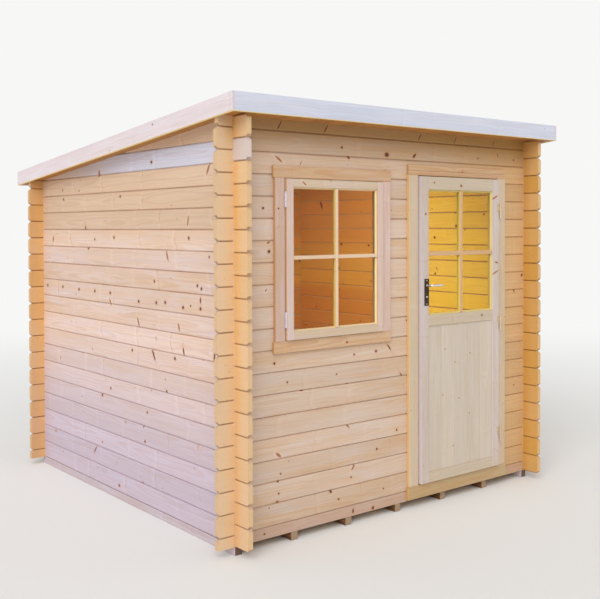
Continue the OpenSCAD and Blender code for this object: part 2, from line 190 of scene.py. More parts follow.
class Sheet:
    """The node tree of one finish.

    Args:
        name: name of the material.
    """

    def __init__(self, name: str) -> None:
        self.material = bpy.data.materials.new(name)
        self.material.use_nodes = True
        self.tree = self.material.node_tree
        self.tree.nodes.clear()

    def node(self, kind: str, settings: dict[str, Any] | None = None,
             inputs: dict[int | str, Any] | None = None) -> bpy.types.Node:
        """Adds a node, makes its settings, then fills its sockets.

        Args:
            kind: node type.
            settings: attributes set first; "stops" holds a ramp's (place, colour) pairs.
            inputs: values or links by socket name or number.

        Returns:
            The new node.
        """
        made = self.tree.nodes.new(kind)
        for key, value in (settings or {}).items():
            if key == "stops":
                band = made.color_ramp
                while len(band.elements) < len(value):
                    band.elements.new(1.0)
                for element, (place, colour) in zip(band.elements, value):
                    element.position = place
                    element.color = (*colour, 1.0)
            else:
                setattr(made, key, value)
        for key, value in (inputs or {}).items():
            socket = made.inputs[key]
            if isinstance(value, Val):
                self.tree.links.new(value.socket, socket)
            elif isinstance(value, tuple) and socket.type == "RGBA":
                socket.default_value = (*value, 1.0)[:4]
            else:
                socket.default_value = value
        return made

    def val(self, kind: str, settings: dict[str, Any] | None = None,
            inputs: dict[int | str, Any] | None = None, out: int | str = 0) -> Val:
        """Adds a node and gives one of its outputs."""
        return Val(self, self.node(kind, settings, inputs).outputs[out])

    def axes(self, vector: Val) -> tuple[Val, Val, Val]:
        """The three parts of a vector."""
        split = self.node("ShaderNodeSeparateXYZ", None, {0: vector})
        return Val(self, split.outputs[0]), Val(self, split.outputs[1]), Val(self, split.outputs[2])

    def join(self, x: "Val | float", y: "Val | float", z: "Val | float" = 0.0) -> Val:
        """A vector from three parts."""
        return self.val("ShaderNodeCombineXYZ", None, {0: x, 1: y, 2: z})

    def noise(self, vector: Val, scale: float = 1.0, detail: float = 2.0, rough: float = 0.5) -> Val:
        """Soft noise from 0 to 1 at a place."""
        return self.val("ShaderNodeTexNoise", {"noise_dimensions": "3D"},
                        {"Vector": vector, "Scale": scale, "Detail": detail, "Roughness": rough})

    def chance(self, number: Val) -> tuple[Val, Val, Val]:
        """Three steady random values from 0 to 1 for a number."""
        found = self.val("ShaderNodeTexWhiteNoise", {"noise_dimensions": "1D"}, {"W": number}, "Color")
        split = self.node("ShaderNodeSeparateColor", None, {0: found})
        return Val(self, split.outputs[0]), Val(self, split.outputs[1]), Val(self, split.outputs[2])

    def mix(self, share: "Val | float", first: Any, second: Any, blend: str = "MIX") -> Val:
        """Mixes two colours; share 0 gives the first."""
        return self.val("ShaderNodeMix", {"data_type": "RGBA", "blend_type": blend},
                        {0: share, 6: first, 7: second}, 2)

    def place(self) -> tuple[Val, Val, Val]:
        """The point in the object's own axes, which are the frame's."""
        return self.axes(self.val("ShaderNodeTexCoord", out="Object"))

    def facing(self) -> tuple[Val, Val, Val]:
        """The surface's direction in the object's own axes."""
        return self.axes(self.val("ShaderNodeTexCoord", out="Normal"))

    def finish(self, colour: Any, rough: "Val | float", height: Val | None = None, depth: float = 0.001,
               strength: float = 1.0, fixed: dict[str, Any] | None = None) -> bpy.types.Material:
        """Closes the tree with one surface shader.

        Args:
            colour: base colour, a value or a plain colour.
            rough: roughness.
            height: relief from 0 to 1, or None for a smooth surface.
            depth: what a relief of 1 stands for, in metres.
            strength: share of the relief that shows.
            fixed: further plain numbers of the surface shader by socket name.

        Returns:
            The finished material.
        """
        inputs: dict[int | str, Any] = {"Base Color": colour, "Roughness": rough}
        inputs.update(fixed or {})
        if height is not None:
            inputs["Normal"] = self.val("ShaderNodeBump", None,
                                        {"Strength": strength, "Distance": depth, "Height": height})
        surface = self.val("ShaderNodeBsdfPrincipled", None, inputs)
        self.node("ShaderNodeOutputMaterial", None, {"Surface": surface})
        return self.material


# ---------------------------------------------------------------------------------------------------
# Wood
# ---------------------------------------------------------------------------------------------------


@dataclass(frozen=True)
class Run:
    """Where a point lies in its timber.

    Attributes:
        along: metres along the grain.
        across: metres across the wide face, from its middle.
        deep: metres through the timber, from its middle.
        number: whole number of the timber.
        end: 1 on sawn ends.
    """

    along: Val
    across: Val
    deep: Val
    number: Val
    end: Val


@dataclass(frozen=True)
class Knot:
    """One knot at a chosen place.

    Attributes:
        a: place along the first axis of the face, in metres from the wall's edge.
        b: height above the ground in metres.
        long: half length in metres.
        wide: half width in metres.
        turn: tilt of its length in degrees.
    """

    a: float
    b: float
    long: float
    wide: float
    turn: float = 0.0


@dataclass(frozen=True)
class Timber:
    """Planed softwood: rings, fibres, patches, knots and the faint lines of branch whorls.

    Attributes:
        name: name of the finish.
        pale: colour of the young wood.
        warm: colour that slow drifts lead to.
        cool: colour of its patches.
        cool_share: how strong the patches are.
        ring: spacing of the growth rings on the face, in metres.
        ring_share: how much the late wood darkens.
        spread: how far timbers differ in lightness.
        knot_gap: average distance between knots along a timber.
        knot_row: height of the band that holds one row of knots.
        knot_share: share of the places that hold a knot.
        knot_size: half width of the largest knot.
        whorl_gap: average distance between whorls.
        whorl_share: how strong their lines are.
        rough: roughness of the surface.
        end_colour: colour of sawn ends.
        left_face_painted_light: painted light or shade on the narrow faces that look to -X, as their
            colour, or None.
        knots: dark knots at chosen places.
        spikes: long reddish knots at chosen places.
    """

    name: str
    pale: Colour
    warm: Colour
    cool: Colour = shade(222, 206, 204)
    cool_share: float = 0.5
    ring: float = 0.0075
    ring_share: float = 0.16
    spread: float = 0.10
    knot_gap: float = 0.30
    knot_row: float = 0.09
    knot_share: float = 0.5
    knot_size: float = 0.009
    whorl_gap: float = 0.42
    whorl_share: float = 0.25
    rough: float = 0.62
    end_colour: Colour = shade(220, 188, 148)
    left_face_painted_light: Colour | None = None
    knots: tuple[Knot, ...] = ()
    spikes: tuple[Knot, ...] = ()

    def run(self, sheet: Sheet) -> Run:
        """Reads the timber's own coordinates, which its mesh carries."""
        along, across, deep = sheet.axes(
            sheet.val("ShaderNodeAttribute", {"attribute_name": "grain"}, out="Vector"))
        number = sheet.val("ShaderNodeAttribute", {"attribute_name": "timber"}, out="Fac")
        end = sheet.val("ShaderNodeAttribute", {"attribute_name": "sawn"}, out="Fac")
        return Run(along, across, deep, (number + 0.5).floor(), end)

    def place(self, sheet: Sheet) -> tuple[Val, Val]:
        """The point on the wall's face that chosen knots are measured on, in metres."""
        x, _, z = sheet.place()
        return x + HALF_W, z

    def tone(self, sheet: Sheet, run: Run, lot: tuple[Val, Val, Val]) -> Val:
        """Colour of the clear wood: the pale tone, drifting to the warm one, with cool patches."""
        spot = sheet.join(run.along * 1.3 + lot[0] * 37.0, run.across * 9.0, run.number * 5.3)
        drift = sheet.noise(spot, 1.0, 2.0).ease(0.35, 0.75)
        patch = sheet.noise(spot, 2.3, 3.0, 0.6).ease(0.46, 0.70)
        colour = sheet.mix((drift * 0.6 + lot[2] * 0.3).least(1.0), self.pale, self.warm)
        return sheet.mix(patch * self.cool_share, colour, self.cool)

    def chosen(self, sheet: Sheet, knots: tuple[Knot, ...]) -> Val | None:
        """Least distance to the chosen knots, where 1 is a knot's rim."""
        least: Val | None = None
        a, b = self.place(sheet) if knots else (None, None)
        for knot in knots:
            turn = math.radians(knot.turn)
            da, db = a - knot.a, b - knot.b
            lengthwise = (da * math.cos(turn) + db * math.sin(turn)) / knot.long
            sidewise = (db * math.cos(turn) - da * math.sin(turn)) / knot.wide
            far = (lengthwise * lengthwise + sidewise * sidewise).root()
            least = far if least is None else least.least(far)
        return least

    def scattered(self, sheet: Sheet, run: Run, lot: tuple[Val, Val, Val]) -> tuple[Val, Val]:
        """Random knots: one chance a cell, from a cell pattern stretched along the timber.

        Returns:
            Distance in knot sizes, where 1 is the rim, and the sideways push on the grain in metres.
        """
        shift = run.along + lot[0] * 23.0
        spot = sheet.join(shift / self.knot_gap, run.across / self.knot_row + run.number * 3.37)
        cell = sheet.node("ShaderNodeTexVoronoi", {"voronoi_dimensions": "2D"},
                          {"Vector": spot, "Scale": 1.0, "Randomness": 0.9})
        here = sheet.axes(spot)
        near = sheet.axes(Val(sheet, cell.outputs["Position"]))
        split = sheet.node("ShaderNodeSeparateColor", None, {0: Val(sheet, cell.outputs["Color"])})
        one, two, three = (Val(sheet, split.outputs[i]) for i in range(3))
        da = (here[0] - near[0]) * self.knot_gap
        db = (here[1] - near[1]) * self.knot_row
        size = (two * two * 0.7 + 0.3) * self.knot_size
        spike = three.above(0.82)
        slant = da + db * (three - 0.91) * 9.0 * spike
        far = ((slant / size) ** 2.0 + (db / (size * (1.0 + spike * 2.5))) ** 2.0).root()
        absent = one.above(self.knot_share)
        wobble = sheet.noise(sheet.join(run.along * 60.0, run.across * 60.0, run.number), 1.0, 1.0)
        far = (far + absent * 40.0) * (0.75 + wobble * 0.5)
        push = db * far.ease(5.5, 0.6) * 0.75 * (1.0 - absent)
        return far, push

    def whorls(self, sheet: Sheet, run: Run, lot: tuple[Val, Val, Val]) -> tuple[Val, Val, Val]:
        """Lines of hidden branches that cross the timber with a slow bend.

        Returns:
            The line's strength, the strength of the pale band beside it, and its nearness.
        """
        bend = sheet.noise(sheet.join(run.across * 16.0, run.number * 3.1, lot[1] * 9.0), 1.0, 1.0)
        shift = (run.along + lot[2] * 17.0 + (bend - 0.5) * 0.07) / self.whorl_gap
        cell = sheet.node("ShaderNodeTexVoronoi", {"voronoi_dimensions": "1D"},
                          {"W": shift + run.number * 7.7, "Scale": 1.0, "Randomness": 0.8})
        off = (shift + run.number * 7.7 - Val(sheet, cell.outputs["W"])) * self.whorl_gap
        split = sheet.node("ShaderNodeSeparateColor", None, {0: Val(sheet, cell.outputs["Color"])})
        one, two = Val(sheet, split.outputs[0]), Val(sheet, split.outputs[1])
        fade = sheet.noise(sheet.join(run.across * 30.0, run.number * 1.7, one * 50.0), 1.0, 1.0)
        line = abs(off).ease(0.007, 0.001) * one.ease(0.3, 0.9) * fade.ease(0.35, 0.65)
        band = (off - 0.002).ease(0.0, 0.012) * off.ease(0.055, 0.012) * two
        return line, band, abs(off).ease(0.08, 0.0)

    def dress(self, sheet: Sheet, run: Run) -> bpy.types.Material:
        """Builds the colour, roughness and relief from the timber's coordinates.

        The rings are the distance from a pith line that lies off the timber, bent by slow noise along
        it; fibres are noise drawn out along the grain.
        """
        lot = sheet.chance(run.number)
        far, push = self.scattered(sheet, run, lot)
        line, band, near = self.whorls(sheet, run, lot)
        chosen = self.chosen(sheet, self.knots)
        if chosen is not None:
            far = far.least(chosen)
        across = run.across - push + near * 0.006
        slow = sheet.noise(sheet.join(run.along * 0.9 + lot[1] * 40.0, across * 5.0, run.number * 2.1),
                           1.0, 2.0)
        off = across - (lot[1] - 0.5) * 0.12
        sunk = run.deep + 0.05 + lot[2] * 0.06
        reach = (off * off + sunk * sunk).root() + slow * 0.055
        ring = (reach / self.ring).part()
        late = ring.ease(0.25, 0.85) * ring.ease(1.0, 0.93)
        thread = sheet.noise(sheet.join(run.along * 7.0, across * 420.0, run.deep * 420.0), 1.0, 3.0, 0.6)
        streak = sheet.noise(sheet.join(run.along * 1.6, across * 70.0, run.number), 1.0, 3.0, 0.55)
        face = 1.0 - run.end
        colour = self.tone(sheet, run, lot)
        light = (1.0 + (lot[0] - 0.5) * self.spread + (thread - 0.5) * 0.16 + (streak - 0.5) * 0.24
                 + band * 0.05 * (self.whorl_share * 4.0))
        colour = sheet.mix(1.0, colour, sheet.join(light, light, light), "MULTIPLY")
        colour = sheet.mix(late * self.ring_share, colour, shade(186, 128, 78))
        colour = sheet.mix(line * self.whorl_share * face, colour, shade(176, 112, 70))
        cut = sheet.mix(late * 0.30, self.end_colour, shade(176, 130, 84))
        rays = sheet.noise(sheet.join(run.across * 240.0, run.deep * 240.0, run.number), 1.0, 2.0)
        cut = sheet.mix((rays - 0.45).most(0.0) * 0.7, cut, shade(120, 84, 52))
        colour = sheet.mix(run.end, colour, cut)
        colour = sheet.mix(far.ease(2.4, 1.0) * 0.35 * face, colour, shade(200, 140, 92))
        core = far.ease(1.08, 0.75) * face
        heart = sheet.mix(far.ease(0.1, 1.0), shade(86, 50, 34), shade(132, 84, 58))
        colour = sheet.mix(core, colour, heart)
        spiked = self.chosen(sheet, self.spikes)
        if spiked is not None:
            colour = sheet.mix(spiked.ease(2.3, 1.0) * 0.35 * face, colour, shade(232, 200, 176))
            colour = sheet.mix(spiked.ease(1.1, 0.5) * 0.85 * face, colour, shade(150, 88, 52))
        # Painted light and shade: faces that look to -X take the flank colour, as light falls on that side.
        if self.left_face_painted_light is not None:
            facing, _, _ = sheet.facing()
            colour = sheet.mix(facing.ease(-0.5, -0.9) * 0.8, colour, self.left_face_painted_light)
        colour = self.painted_light_and_marks(sheet, run, colour)
        rough = self.rough + thread * 0.10 - core * 0.12 + late * 0.04
        height = late * 0.35 + thread * 0.45 + core * 0.5
        return sheet.finish(colour, rough, height, 0.0008, 0.55, {"Specular IOR Level": 0.32})

    def painted_light_and_marks(self, sheet: Sheet, run: Run, colour: Val) -> Val:
        """Last change to the colour, where painted light goes; plain timbers have none."""
        return colour

    def make(self) -> bpy.types.Material:
        """Builds the material."""
        sheet = Sheet(self.name)
        return self.dress(sheet, self.run(sheet))


class Wall(Enum):
    """The four log walls.

    Each value holds the axis that the logs run along, the first course's height, the place of the face
    with the lower coordinate, and the number of the first log.
    """

    LEFT = ("y", BASE_H, -HALF_W, 100.0)
    RIGHT = ("y", BASE_H, HALF_W - LOG_T, 200.0)
    FRONT = ("x", BASE_H + LOG_H / 2, -HALF_D, 300.0)
    BACK = ("x", BASE_H + LOG_H / 2, HALF_D - LOG_T, 400.0)


@dataclass(frozen=True)
class LogTimber(Timber):
    """The walls' logs, whose coordinates come from their place in the wall.

    Attributes:
        wall: which wall the logs stand in.
        low: colour of the lowest courses, paler and lavender as painted sky and bounce light.
        low_sky_light_share: how far they take it.
        foot: colour of the half log at the ground.
        high: colour of the courses under the roof, darker there: partly the wood's own tone and partly
            painted shade of the eaves.
        high_from: height at which that colour begins.
        far_side: colour at the end of the wall away from the corner that the window is next to.
        pale_course: number of a course of much paler wood, or a number that no course has.
        start_ends_bounce_light: colour of the log ends at the wall's start, which holds painted warm bounce
            light and shade.
        far_ends_bounce_light: colour of the log ends at its far end, which holds painted warm bounce light
            and shade.
        crossing_bounce_light: painted warm bounce light on the log ends beside the crossing.
        inner: colour of the inner faces near the door, bright yellow as painted indoor light.
        inner_back_shade: colour of the inner faces at the back, brown as painted shade of the indoor light.
        inner_low: the same in the courses below the middle of the windows, with yellower painted indoor
            light.
    """

    wall: Wall = Wall.LEFT
    low: Colour = shade(200, 188, 205)
    low_sky_light_share: float = 0.9
    foot: Colour = shade(176, 146, 132)
    high: Colour = shade(208, 180, 150)
    high_from: float = 1.5
    far_side: Colour = shade(206, 166, 114)
    pale_course: float = 99.0
    start_ends_bounce_light: Colour = shade(219, 184, 146)
    far_ends_bounce_light: Colour = shade(205, 152, 68)
    crossing_bounce_light: Colour = shade(230, 172, 84)
    inner: Colour = shade(240, 208, 72)
    inner_back_shade: Colour = shade(196, 128, 40)
    inner_low: Colour = shade(206, 150, 44)
    knot_row: float = LOG_H
    spread: float = 0.12

    def run(self, sheet: Sheet) -> Run:
        """The course number comes from the height, and the grain runs with the wall."""
        axis, first, face, start = self.wall.value
        x, y, z = sheet.place()
        nx, ny, _ = sheet.facing()
        course = ((z - first) / LOG_H + 0.0001).floor()
        across = z - first - (course + 0.5) * LOG_H
        along, deep = (y, x) if axis == "y" else (x, y)
        end = abs(ny if axis == "y" else nx).ease(0.6, 0.8)
        return Run(along, across, deep - face - LOG_T / 2, course + start, end)

    def place(self, sheet: Sheet) -> tuple[Val, Val]:
        """Distance along the wall from its start, and the height."""
        x, y, z = sheet.place()
        return (y + HALF_D, z) if self.wall.value[0] == "y" else (x + HALF_W, z)

    def inside(self, sheet: Sheet) -> Val:
        """1 on the faces that look into the cabin."""
        x, y, _ = sheet.place()
        gap_x = HALF_W - LOG_T + 0.004 - abs(x)
        gap_y = HALF_D - LOG_T + 0.004 - abs(y)
        return gap_x.ease(0.0, 0.002) * gap_y.ease(0.0, 0.002)

    def tone(self, sheet: Sheet, run: Run, lot: tuple[Val, Val, Val]) -> Val:
        """The tone drifts along the wall and differs log by log; it is paler low down as painted sky and
        bounce light, darker under the eaves as partly painted shade, and golden indoors as painted indoor
        light.
        """
        colour = super().tone(sheet, run, lot)
        x, y, z = sheet.place()
        if self.wall in (Wall.LEFT, Wall.BACK):
            # Painted sky and bounce light: the lowest courses turn paler and lavender.
            colour = sheet.mix(z.ease(1.15, 0.2) * self.low_sky_light_share, colour, self.low)
        else:
            colour = sheet.mix(x.ease(-0.3, 1.15) * 0.85, colour, self.far_side)
            colour = sheet.mix(z.ease(0.110, 0.095) * 0.6, colour, self.foot)
        # Painted shade of the eaves, partly the wood's own tone: the top courses turn darker.
        colour = sheet.mix(z.ease(self.high_from, self.high_from + 0.2) * 0.8, colour, self.high)
        lone = abs(run.number - self.wall.value[3] - self.pale_course).ease(0.6, 0.2)
        colour = sheet.mix(lone * y.ease(1.2, -0.2) * 0.9, colour, shade(214, 216, 234))
        # Painted indoor light: bright yellow near the door, falling to brown shade at the back.
        far = sheet.mix(z.ease(1.62, 1.40) * z.ease(1.12, 1.20), self.inner_back_shade, self.inner_low)
        gold = sheet.mix(y.ease(-0.45, 0.25), self.inner, far)
        gold = sheet.mix(lot[2] * 0.2, gold, sheet.mix(0.5, gold, self.pale))
        return sheet.mix(self.inside(sheet) * 0.92, colour, gold)

    def painted_light_and_marks(self, sheet: Sheet, run: Run, colour: Val) -> Val:
        """Painted warm bounce light and shade on the log ends past the crossings, and dark joints that
        differ along the wall: partly their gap and partly painted shade in the grooves.
        """
        axis, _, _, start = self.wall.value
        x, y, z = sheet.place()
        at, half = (y, HALF_D) if axis == "y" else (x, HALF_W)
        past = abs(at) - half
        one, two, _ = sheet.chance(run.number + at.above(0.0) * 50.0)
        # Painted warm bounce light and shade on the log ends past the crossings, strongest beside the
        # crossing.
        outer = sheet.mix(at.above(0.0), self.start_ends_bounce_light, self.far_ends_bounce_light)
        outer = sheet.mix(one * 0.6, outer, sheet.mix(0.4, outer, shade(238, 208, 176)))
        ends = sheet.mix((past + two * 0.04).ease(0.10, 0.01) * (0.45 + two * 0.55), outer, self.crossing_bounce_light)
        out = past.ease(0.0, 0.004)
        colour = sheet.mix(out * (0.85 - run.end * 0.6), colour, ends)
        lone = abs(run.number - start - self.pale_course).ease(0.6, 0.2) * at.ease(0.0, -0.1)
        colour = sheet.mix(lone * out * 0.7, colour, shade(208, 200, 202))
        inside = self.inside(sheet)
        # Dark joints: partly the gap between logs, partly painted shade in the grooves, stronger indoors
        # and past the crossings.
        sunk = (LOG_T / 2 - abs(run.deep)).ease(0.0015, 0.0065) * (1.0 - run.end)
        side = run.across.ease(0.02, -0.02)
        open_joint = sheet.noise(sheet.join(run.along * 2.3, run.number, 0.0), 1.0, 2.0).ease(0.35, 0.65)
        dots, _ = self.scattered(sheet, run, sheet.chance(run.number))
        colour = sheet.mix(dots.ease(1.8, 0.7) * inside * 0.8, colour, shade(96, 36, 10))
        joint_gap_and_shade = sunk * (0.12 + side * (0.20 + open_joint * 0.35) + inside * 0.45 + out * 0.30)
        return sheet.mix(joint_gap_and_shade.least(0.9), colour, shade(104, 60, 26))


@dataclass(frozen=True)
class EdgeTimber(Timber):
    """The roof's edge boards, whose lower edge carries painted yellow bounce light.

    Attributes:
        half: half height of the board.
        edge_bounce_light: colour of its lower edge, painted yellow bounce light.
    """

    half: float = 0.0485
    edge_bounce_light: Colour = shade(236, 208, 132)

    def painted_light_and_marks(self, sheet: Sheet, run: Run, colour: Val) -> Val:
        """Painted bounce light: the last 4 mm above the lower edge and the underside turn yellow."""
        return sheet.mix(run.across.ease(0.0045 - self.half, 0.002 - self.half) * 0.9, colour, self.edge_bounce_light)


# ---------------------------------------------------------------------------------------------------
# Other finishes
# ---------------------------------------------------------------------------------------------------


@dataclass(frozen=True)
class Metal:
    """Plated or polished metal with fine scratches and dull spots.

    Attributes:
        name: name of the finish.
        colour: colour of the metal.
        worn: colour of its dull spots.
        rough: roughness of the clean metal.
        metallic: share of uncoated metal, below 1 for a coated one.
    """

    name: str
    colour: Colour
    worn: Colour
    rough: float = 0.28
    metallic: float = 1.0

    def make(self) -> bpy.types.Material:
        """Builds the material: drawn-out scratches over soft spots."""
        sheet = Sheet(self.name)
        x, y, z = sheet.place()
        spots = sheet.noise(sheet.join(x, y, z), 90.0, 3.0).ease(0.45, 0.75)
        scratch = sheet.noise(sheet.join(x * 1400.0, y * 1400.0, z * 60.0), 1.0, 2.0)
        colour = sheet.mix(spots * 0.6, self.colour, self.worn)
        rough = self.rough + spots * 0.22 + (scratch - 0.5) * 0.12
        return sheet.finish(colour, rough, scratch, 0.0002, 0.3, {"Metallic": self.metallic})


@dataclass(frozen=True)
class Glass:
    """Clear pane: mostly see-through, with a faint sheen and smears.

    Attributes:
        name: name of the finish.
        tint: colour of what is seen through it.
    """

    name: str
    tint: Colour = shade(238, 244, 240)

    def make(self) -> bpy.types.Material:
        """Mixes a clear and a glossy shader by a small share."""
        sheet = Sheet(self.name)
        x, y, z = sheet.place()
        smear = sheet.noise(sheet.join(x * 3.0, y, z * 5.0), 1.0, 3.0).ease(0.5, 0.8)
        clear = sheet.val("ShaderNodeBsdfTransparent", None, {"Color": self.tint})
        shine = sheet.val("ShaderNodeBsdfPrincipled", None,
                          {"Base Color": (0.9, 0.92, 0.92), "Metallic": 1.0,
                           "Roughness": 0.03 + smear * 0.05})
        share = 0.010 + smear * 0.010
        both = sheet.val("ShaderNodeMixShader", None, {0: share, 1: clear, 2: shine})
        sheet.node("ShaderNodeOutputMaterial", None, {"Surface": both})
        return sheet.material


@dataclass(frozen=True)
class MineralFelt:
    """Roofing felt with a grit of mineral grains.

    Attributes:
        name: name of the finish.
        dark: colour of the darkest grains.
        light: colour of the lightest ones.
    """

    name: str
    dark: Colour = shade(58, 62, 60)
    light: Colour = shade(112, 116, 110)

    def make(self) -> bpy.types.Material:
        """Grains are small cells of random lightness over soft stains."""
        sheet = Sheet(self.name)
        x, y, z = sheet.place()
        grit = sheet.node("ShaderNodeTexVoronoi", {"voronoi_dimensions": "3D"},
                          {"Vector": sheet.join(x, y, z), "Scale": 420.0})
        one, _, _ = sheet.axes(Val(sheet, grit.outputs["Color"]))
        stain = sheet.noise(sheet.join(x, y * 0.7, z), 3.0, 3.0)
        colour = sheet.mix((one * 0.7 + (stain - 0.5) * 0.5).least(1.0), self.dark, self.light)
        height = one * 0.7 + stain * 0.3
        return sheet.finish(colour, 0.86 + one * 0.1, height, 0.0012, 0.7)


# ---------------------------------------------------------------------------------------------------
# Shapes
# ---------------------------------------------------------------------------------------------------


class Along(Enum):
    """The axis that a timber's grain follows."""

    X = 0
    Y = 1
    Z = 2


@dataclass
class Shape:
    """A mesh in the making.

    Attributes:
        points: (n, 3) places in metres.
        faces: point numbers of each face.
        grain: (n, 3) place in the timber: along, across, deep.
        sawn: (n,) 1 on sawn ends.
        timber: (n,) number of the timber.
    """

    points: Array
    faces: list[list[int]]
    grain: Array
    sawn: Array
    timber: Array

    def moved(self, change: Array) -> "Shape":
        """The shape with its points moved by an (n, 3) or (3,) change."""
        return Shape(self.points + change, self.faces, self.grain, self.sawn, self.timber)

    def sloped(self, fall: float, level_y: float) -> "Shape":
        """The shape sheared to a fall towards +Y: z loses fall times the distance past level_y."""
        change = np.zeros_like(self.points)
        change[:, 2] = -fall * (self.points[:, 1] - level_y)
        return self.moved(change)

    def outward(self) -> "Shape":
        """Turns all faces over if the shape's signed volume is negative.

        The volume is the sum over fan triangles of a . (b x c) / 6.
        """
        total = 0.0
        for size in sorted({len(face) for face in self.faces}):
            block = np.array([face for face in self.faces if len(face) == size])
            for k in range(1, size - 1):
                a, b, c = (self.points[block[:, i]] for i in (0, k, k + 1))
                total += float(np.einsum("ij,ij->", a, np.cross(b, c)))
        if total >= 0:
            return self
        return Shape(self.points, [face[::-1] for face in self.faces], self.grain, self.sawn, self.timber)


def gather(shapes: Iterable[Shape]) -> Shape:
    """One shape from several, with the point numbers carried on."""
    found = list(shapes)
    starts = np.cumsum([0] + [len(s.points) for s in found[:-1]])
    faces = [[int(i + start) for i in face] for s, start in zip(found, starts) for face in s.faces]
    return Shape(np.concatenate([s.points for s in found]), faces,
                 np.concatenate([s.grain for s in found]), np.concatenate([s.sawn for s in found]),
                 np.concatenate([s.timber for s in found]))


def loft(rings: Array, grain: Array | None = None, sawn: Array | None = None,
         timber: int = 0, closed: bool = False) -> Shape:
    """Skins a row of equal rings.

    Point (i, j) is point j of ring i, and face (i, j) joins rings i and i + 1 between points j and j + 1.
    An open row gets a flat cap at both ends; a closed one runs back to its first ring.

    Args:
        rings: (m, n, 3) points.
        grain: (m, n, 3) timber coordinates, or None.
        sawn: (m, n) sawn-end marks, or None.
        timber: number of the timber.
        closed: whether the last ring joins the first.

    Returns:
        The closed shape, facing outwards.
    """
    m, n, _ = rings.shape
    grid = np.arange(m * n).reshape(m, n)
    upper = np.roll(grid, -1, axis=0) if closed else grid[1:]
    lower = grid if closed else grid[:-1]
    quads = np.stack([lower, np.roll(lower, -1, axis=1), np.roll(upper, -1, axis=1), upper], axis=-1)
    faces = quads.reshape(-1, 4).tolist()
    if not closed:
        faces += [grid[0, ::-1].tolist(), grid[-1].tolist()]
    count = m * n
    return Shape(rings.reshape(-1, 3), faces,
                 np.zeros((count, 3)) if grain is None else grain.reshape(-1, 3),
                 np.zeros(count) if sawn is None else sawn.reshape(-1),
                 np.full(count, float(timber))).outward()


def bar(low: Sequence[float], high: Sequence[float], along: Along, number: int,
        soft: float = 0.002) -> Shape:
    """A timber with softened edges between two corners.

    Each ring is a rectangle with quarter-circle corners, and the outer rings draw in over the last
    few millimetres, so that the ends are softened as well.

    Args:
        low: lowest corner.
        high: highest corner.
        along: axis of the grain.
        number: number of the timber, which picks its figure.
        soft: radius of the edges.

    Returns:
        The timber.
    """
    low_, high_ = np.array(low, float), np.array(high, float)
    u = along.value
    v, w = sorted((a for a in range(3) if a != u), key=lambda a: low_[a] - high_[a])
    middle, half = (low_ + high_) / 2, (high_ - low_) / 2
    soft = min(soft, float(half[w]) * 0.8)
    back = np.array([0.0, 0.35, 1.0]) * soft
    inset = np.array([0.65, 0.2, 0.0]) * soft
    place = np.concatenate([low_[u] + back, high_[u] - back[::-1]])
    drawn = np.concatenate([inset, inset[::-1]])
    angle = np.radians(np.array([[0, 45, 90], [90, 135, 180], [180, 225, 270], [270, 315, 360]]))
    side = np.array([[1, 1], [-1, 1], [-1, -1], [1, -1]], float)
    radius = (soft - drawn)[:, None, None]
    rings = np.zeros((6, 4, 3, 3))
    rings[..., u] = place[:, None, None]
    rings[..., v] = middle[v] + side[None, :, :1] * (half[v] - soft) + radius * np.cos(angle)[None]
    rings[..., w] = middle[w] + side[None, :, 1:] * (half[w] - soft) + radius * np.sin(angle)[None]
    rings = rings.reshape(6, 12, 3)
    grain = np.stack([rings[..., u] - low_[u] + (number * 7.31) % 11.0, rings[..., v] - middle[v],
                      rings[..., w] - middle[w]], axis=-1)
    sawn = np.zeros((6, 12))
    sawn[[0, -1]] = 1.0
    return loft(rings, grain, sawn, number)


def strip(section: Array, ends: tuple[Sequence[float], Sequence[float]], side: Sequence[float],
          front: Sequence[float], number: int, mitre: tuple[float, float] = (0.0, 0.0)) -> Shape:
    """A moulded strip: a flat section carried along a straight line.

    A point (a, b) of the section goes to end + a side + b front, and is moved along the line by a times
    the mitre of that end.

    Args:
        section: (n, 2) outline.
        ends: the two end points.
        side: direction of the section's first axis.
        front: direction of its second axis.
        number: number of the timber.
        mitre: how far the ends slope, as a move along the line for each metre of a.

    Returns:
        The strip.
    """
    first, last = np.array(ends[0], float), np.array(ends[1], float)
    run = last - first
    length = float(np.linalg.norm(run))
    run /= length
    across = section[:, :1] * np.array(side, float) + section[:, 1:] * np.array(front, float)
    rings = np.stack([first + across + section[:, :1] * mitre[0] * run,
                      last + across + section[:, :1] * mitre[1] * run])
    place = np.stack([section[:, 0] * mitre[0], length + section[:, 0] * mitre[1]])
    grain = np.stack([place + (number * 5.17) % 9.0, np.broadcast_to(section[:, 0], place.shape),
                      np.broadcast_to(section[:, 1], place.shape)], axis=-1)
    sawn = np.zeros(place.shape)
    return loft(rings, grain, sawn, number)


def turned(profile: Sequence[tuple[float, float]], centre: Sequence[float], axis: Along,
           sides: int = 20) -> Shape:
    """A turned part: each (place, radius) of the profile makes a circle about the axis."""
    outline = np.array(profile, float)
    angle = np.linspace(0, 2 * np.pi, sides, endpoint=False)
    a = axis.value
    b, c = (a + 1) % 3, (a + 2) % 3
    rings = np.zeros((len(outline), sides, 3))
    rings[..., a] = centre[a] + outline[:, :1]
    rings[..., b] = centre[b] + outline[:, 1:] * np.cos(angle)
    rings[..., c] = centre[c] + outline[:, 1:] * np.sin(angle)
    return loft(rings)


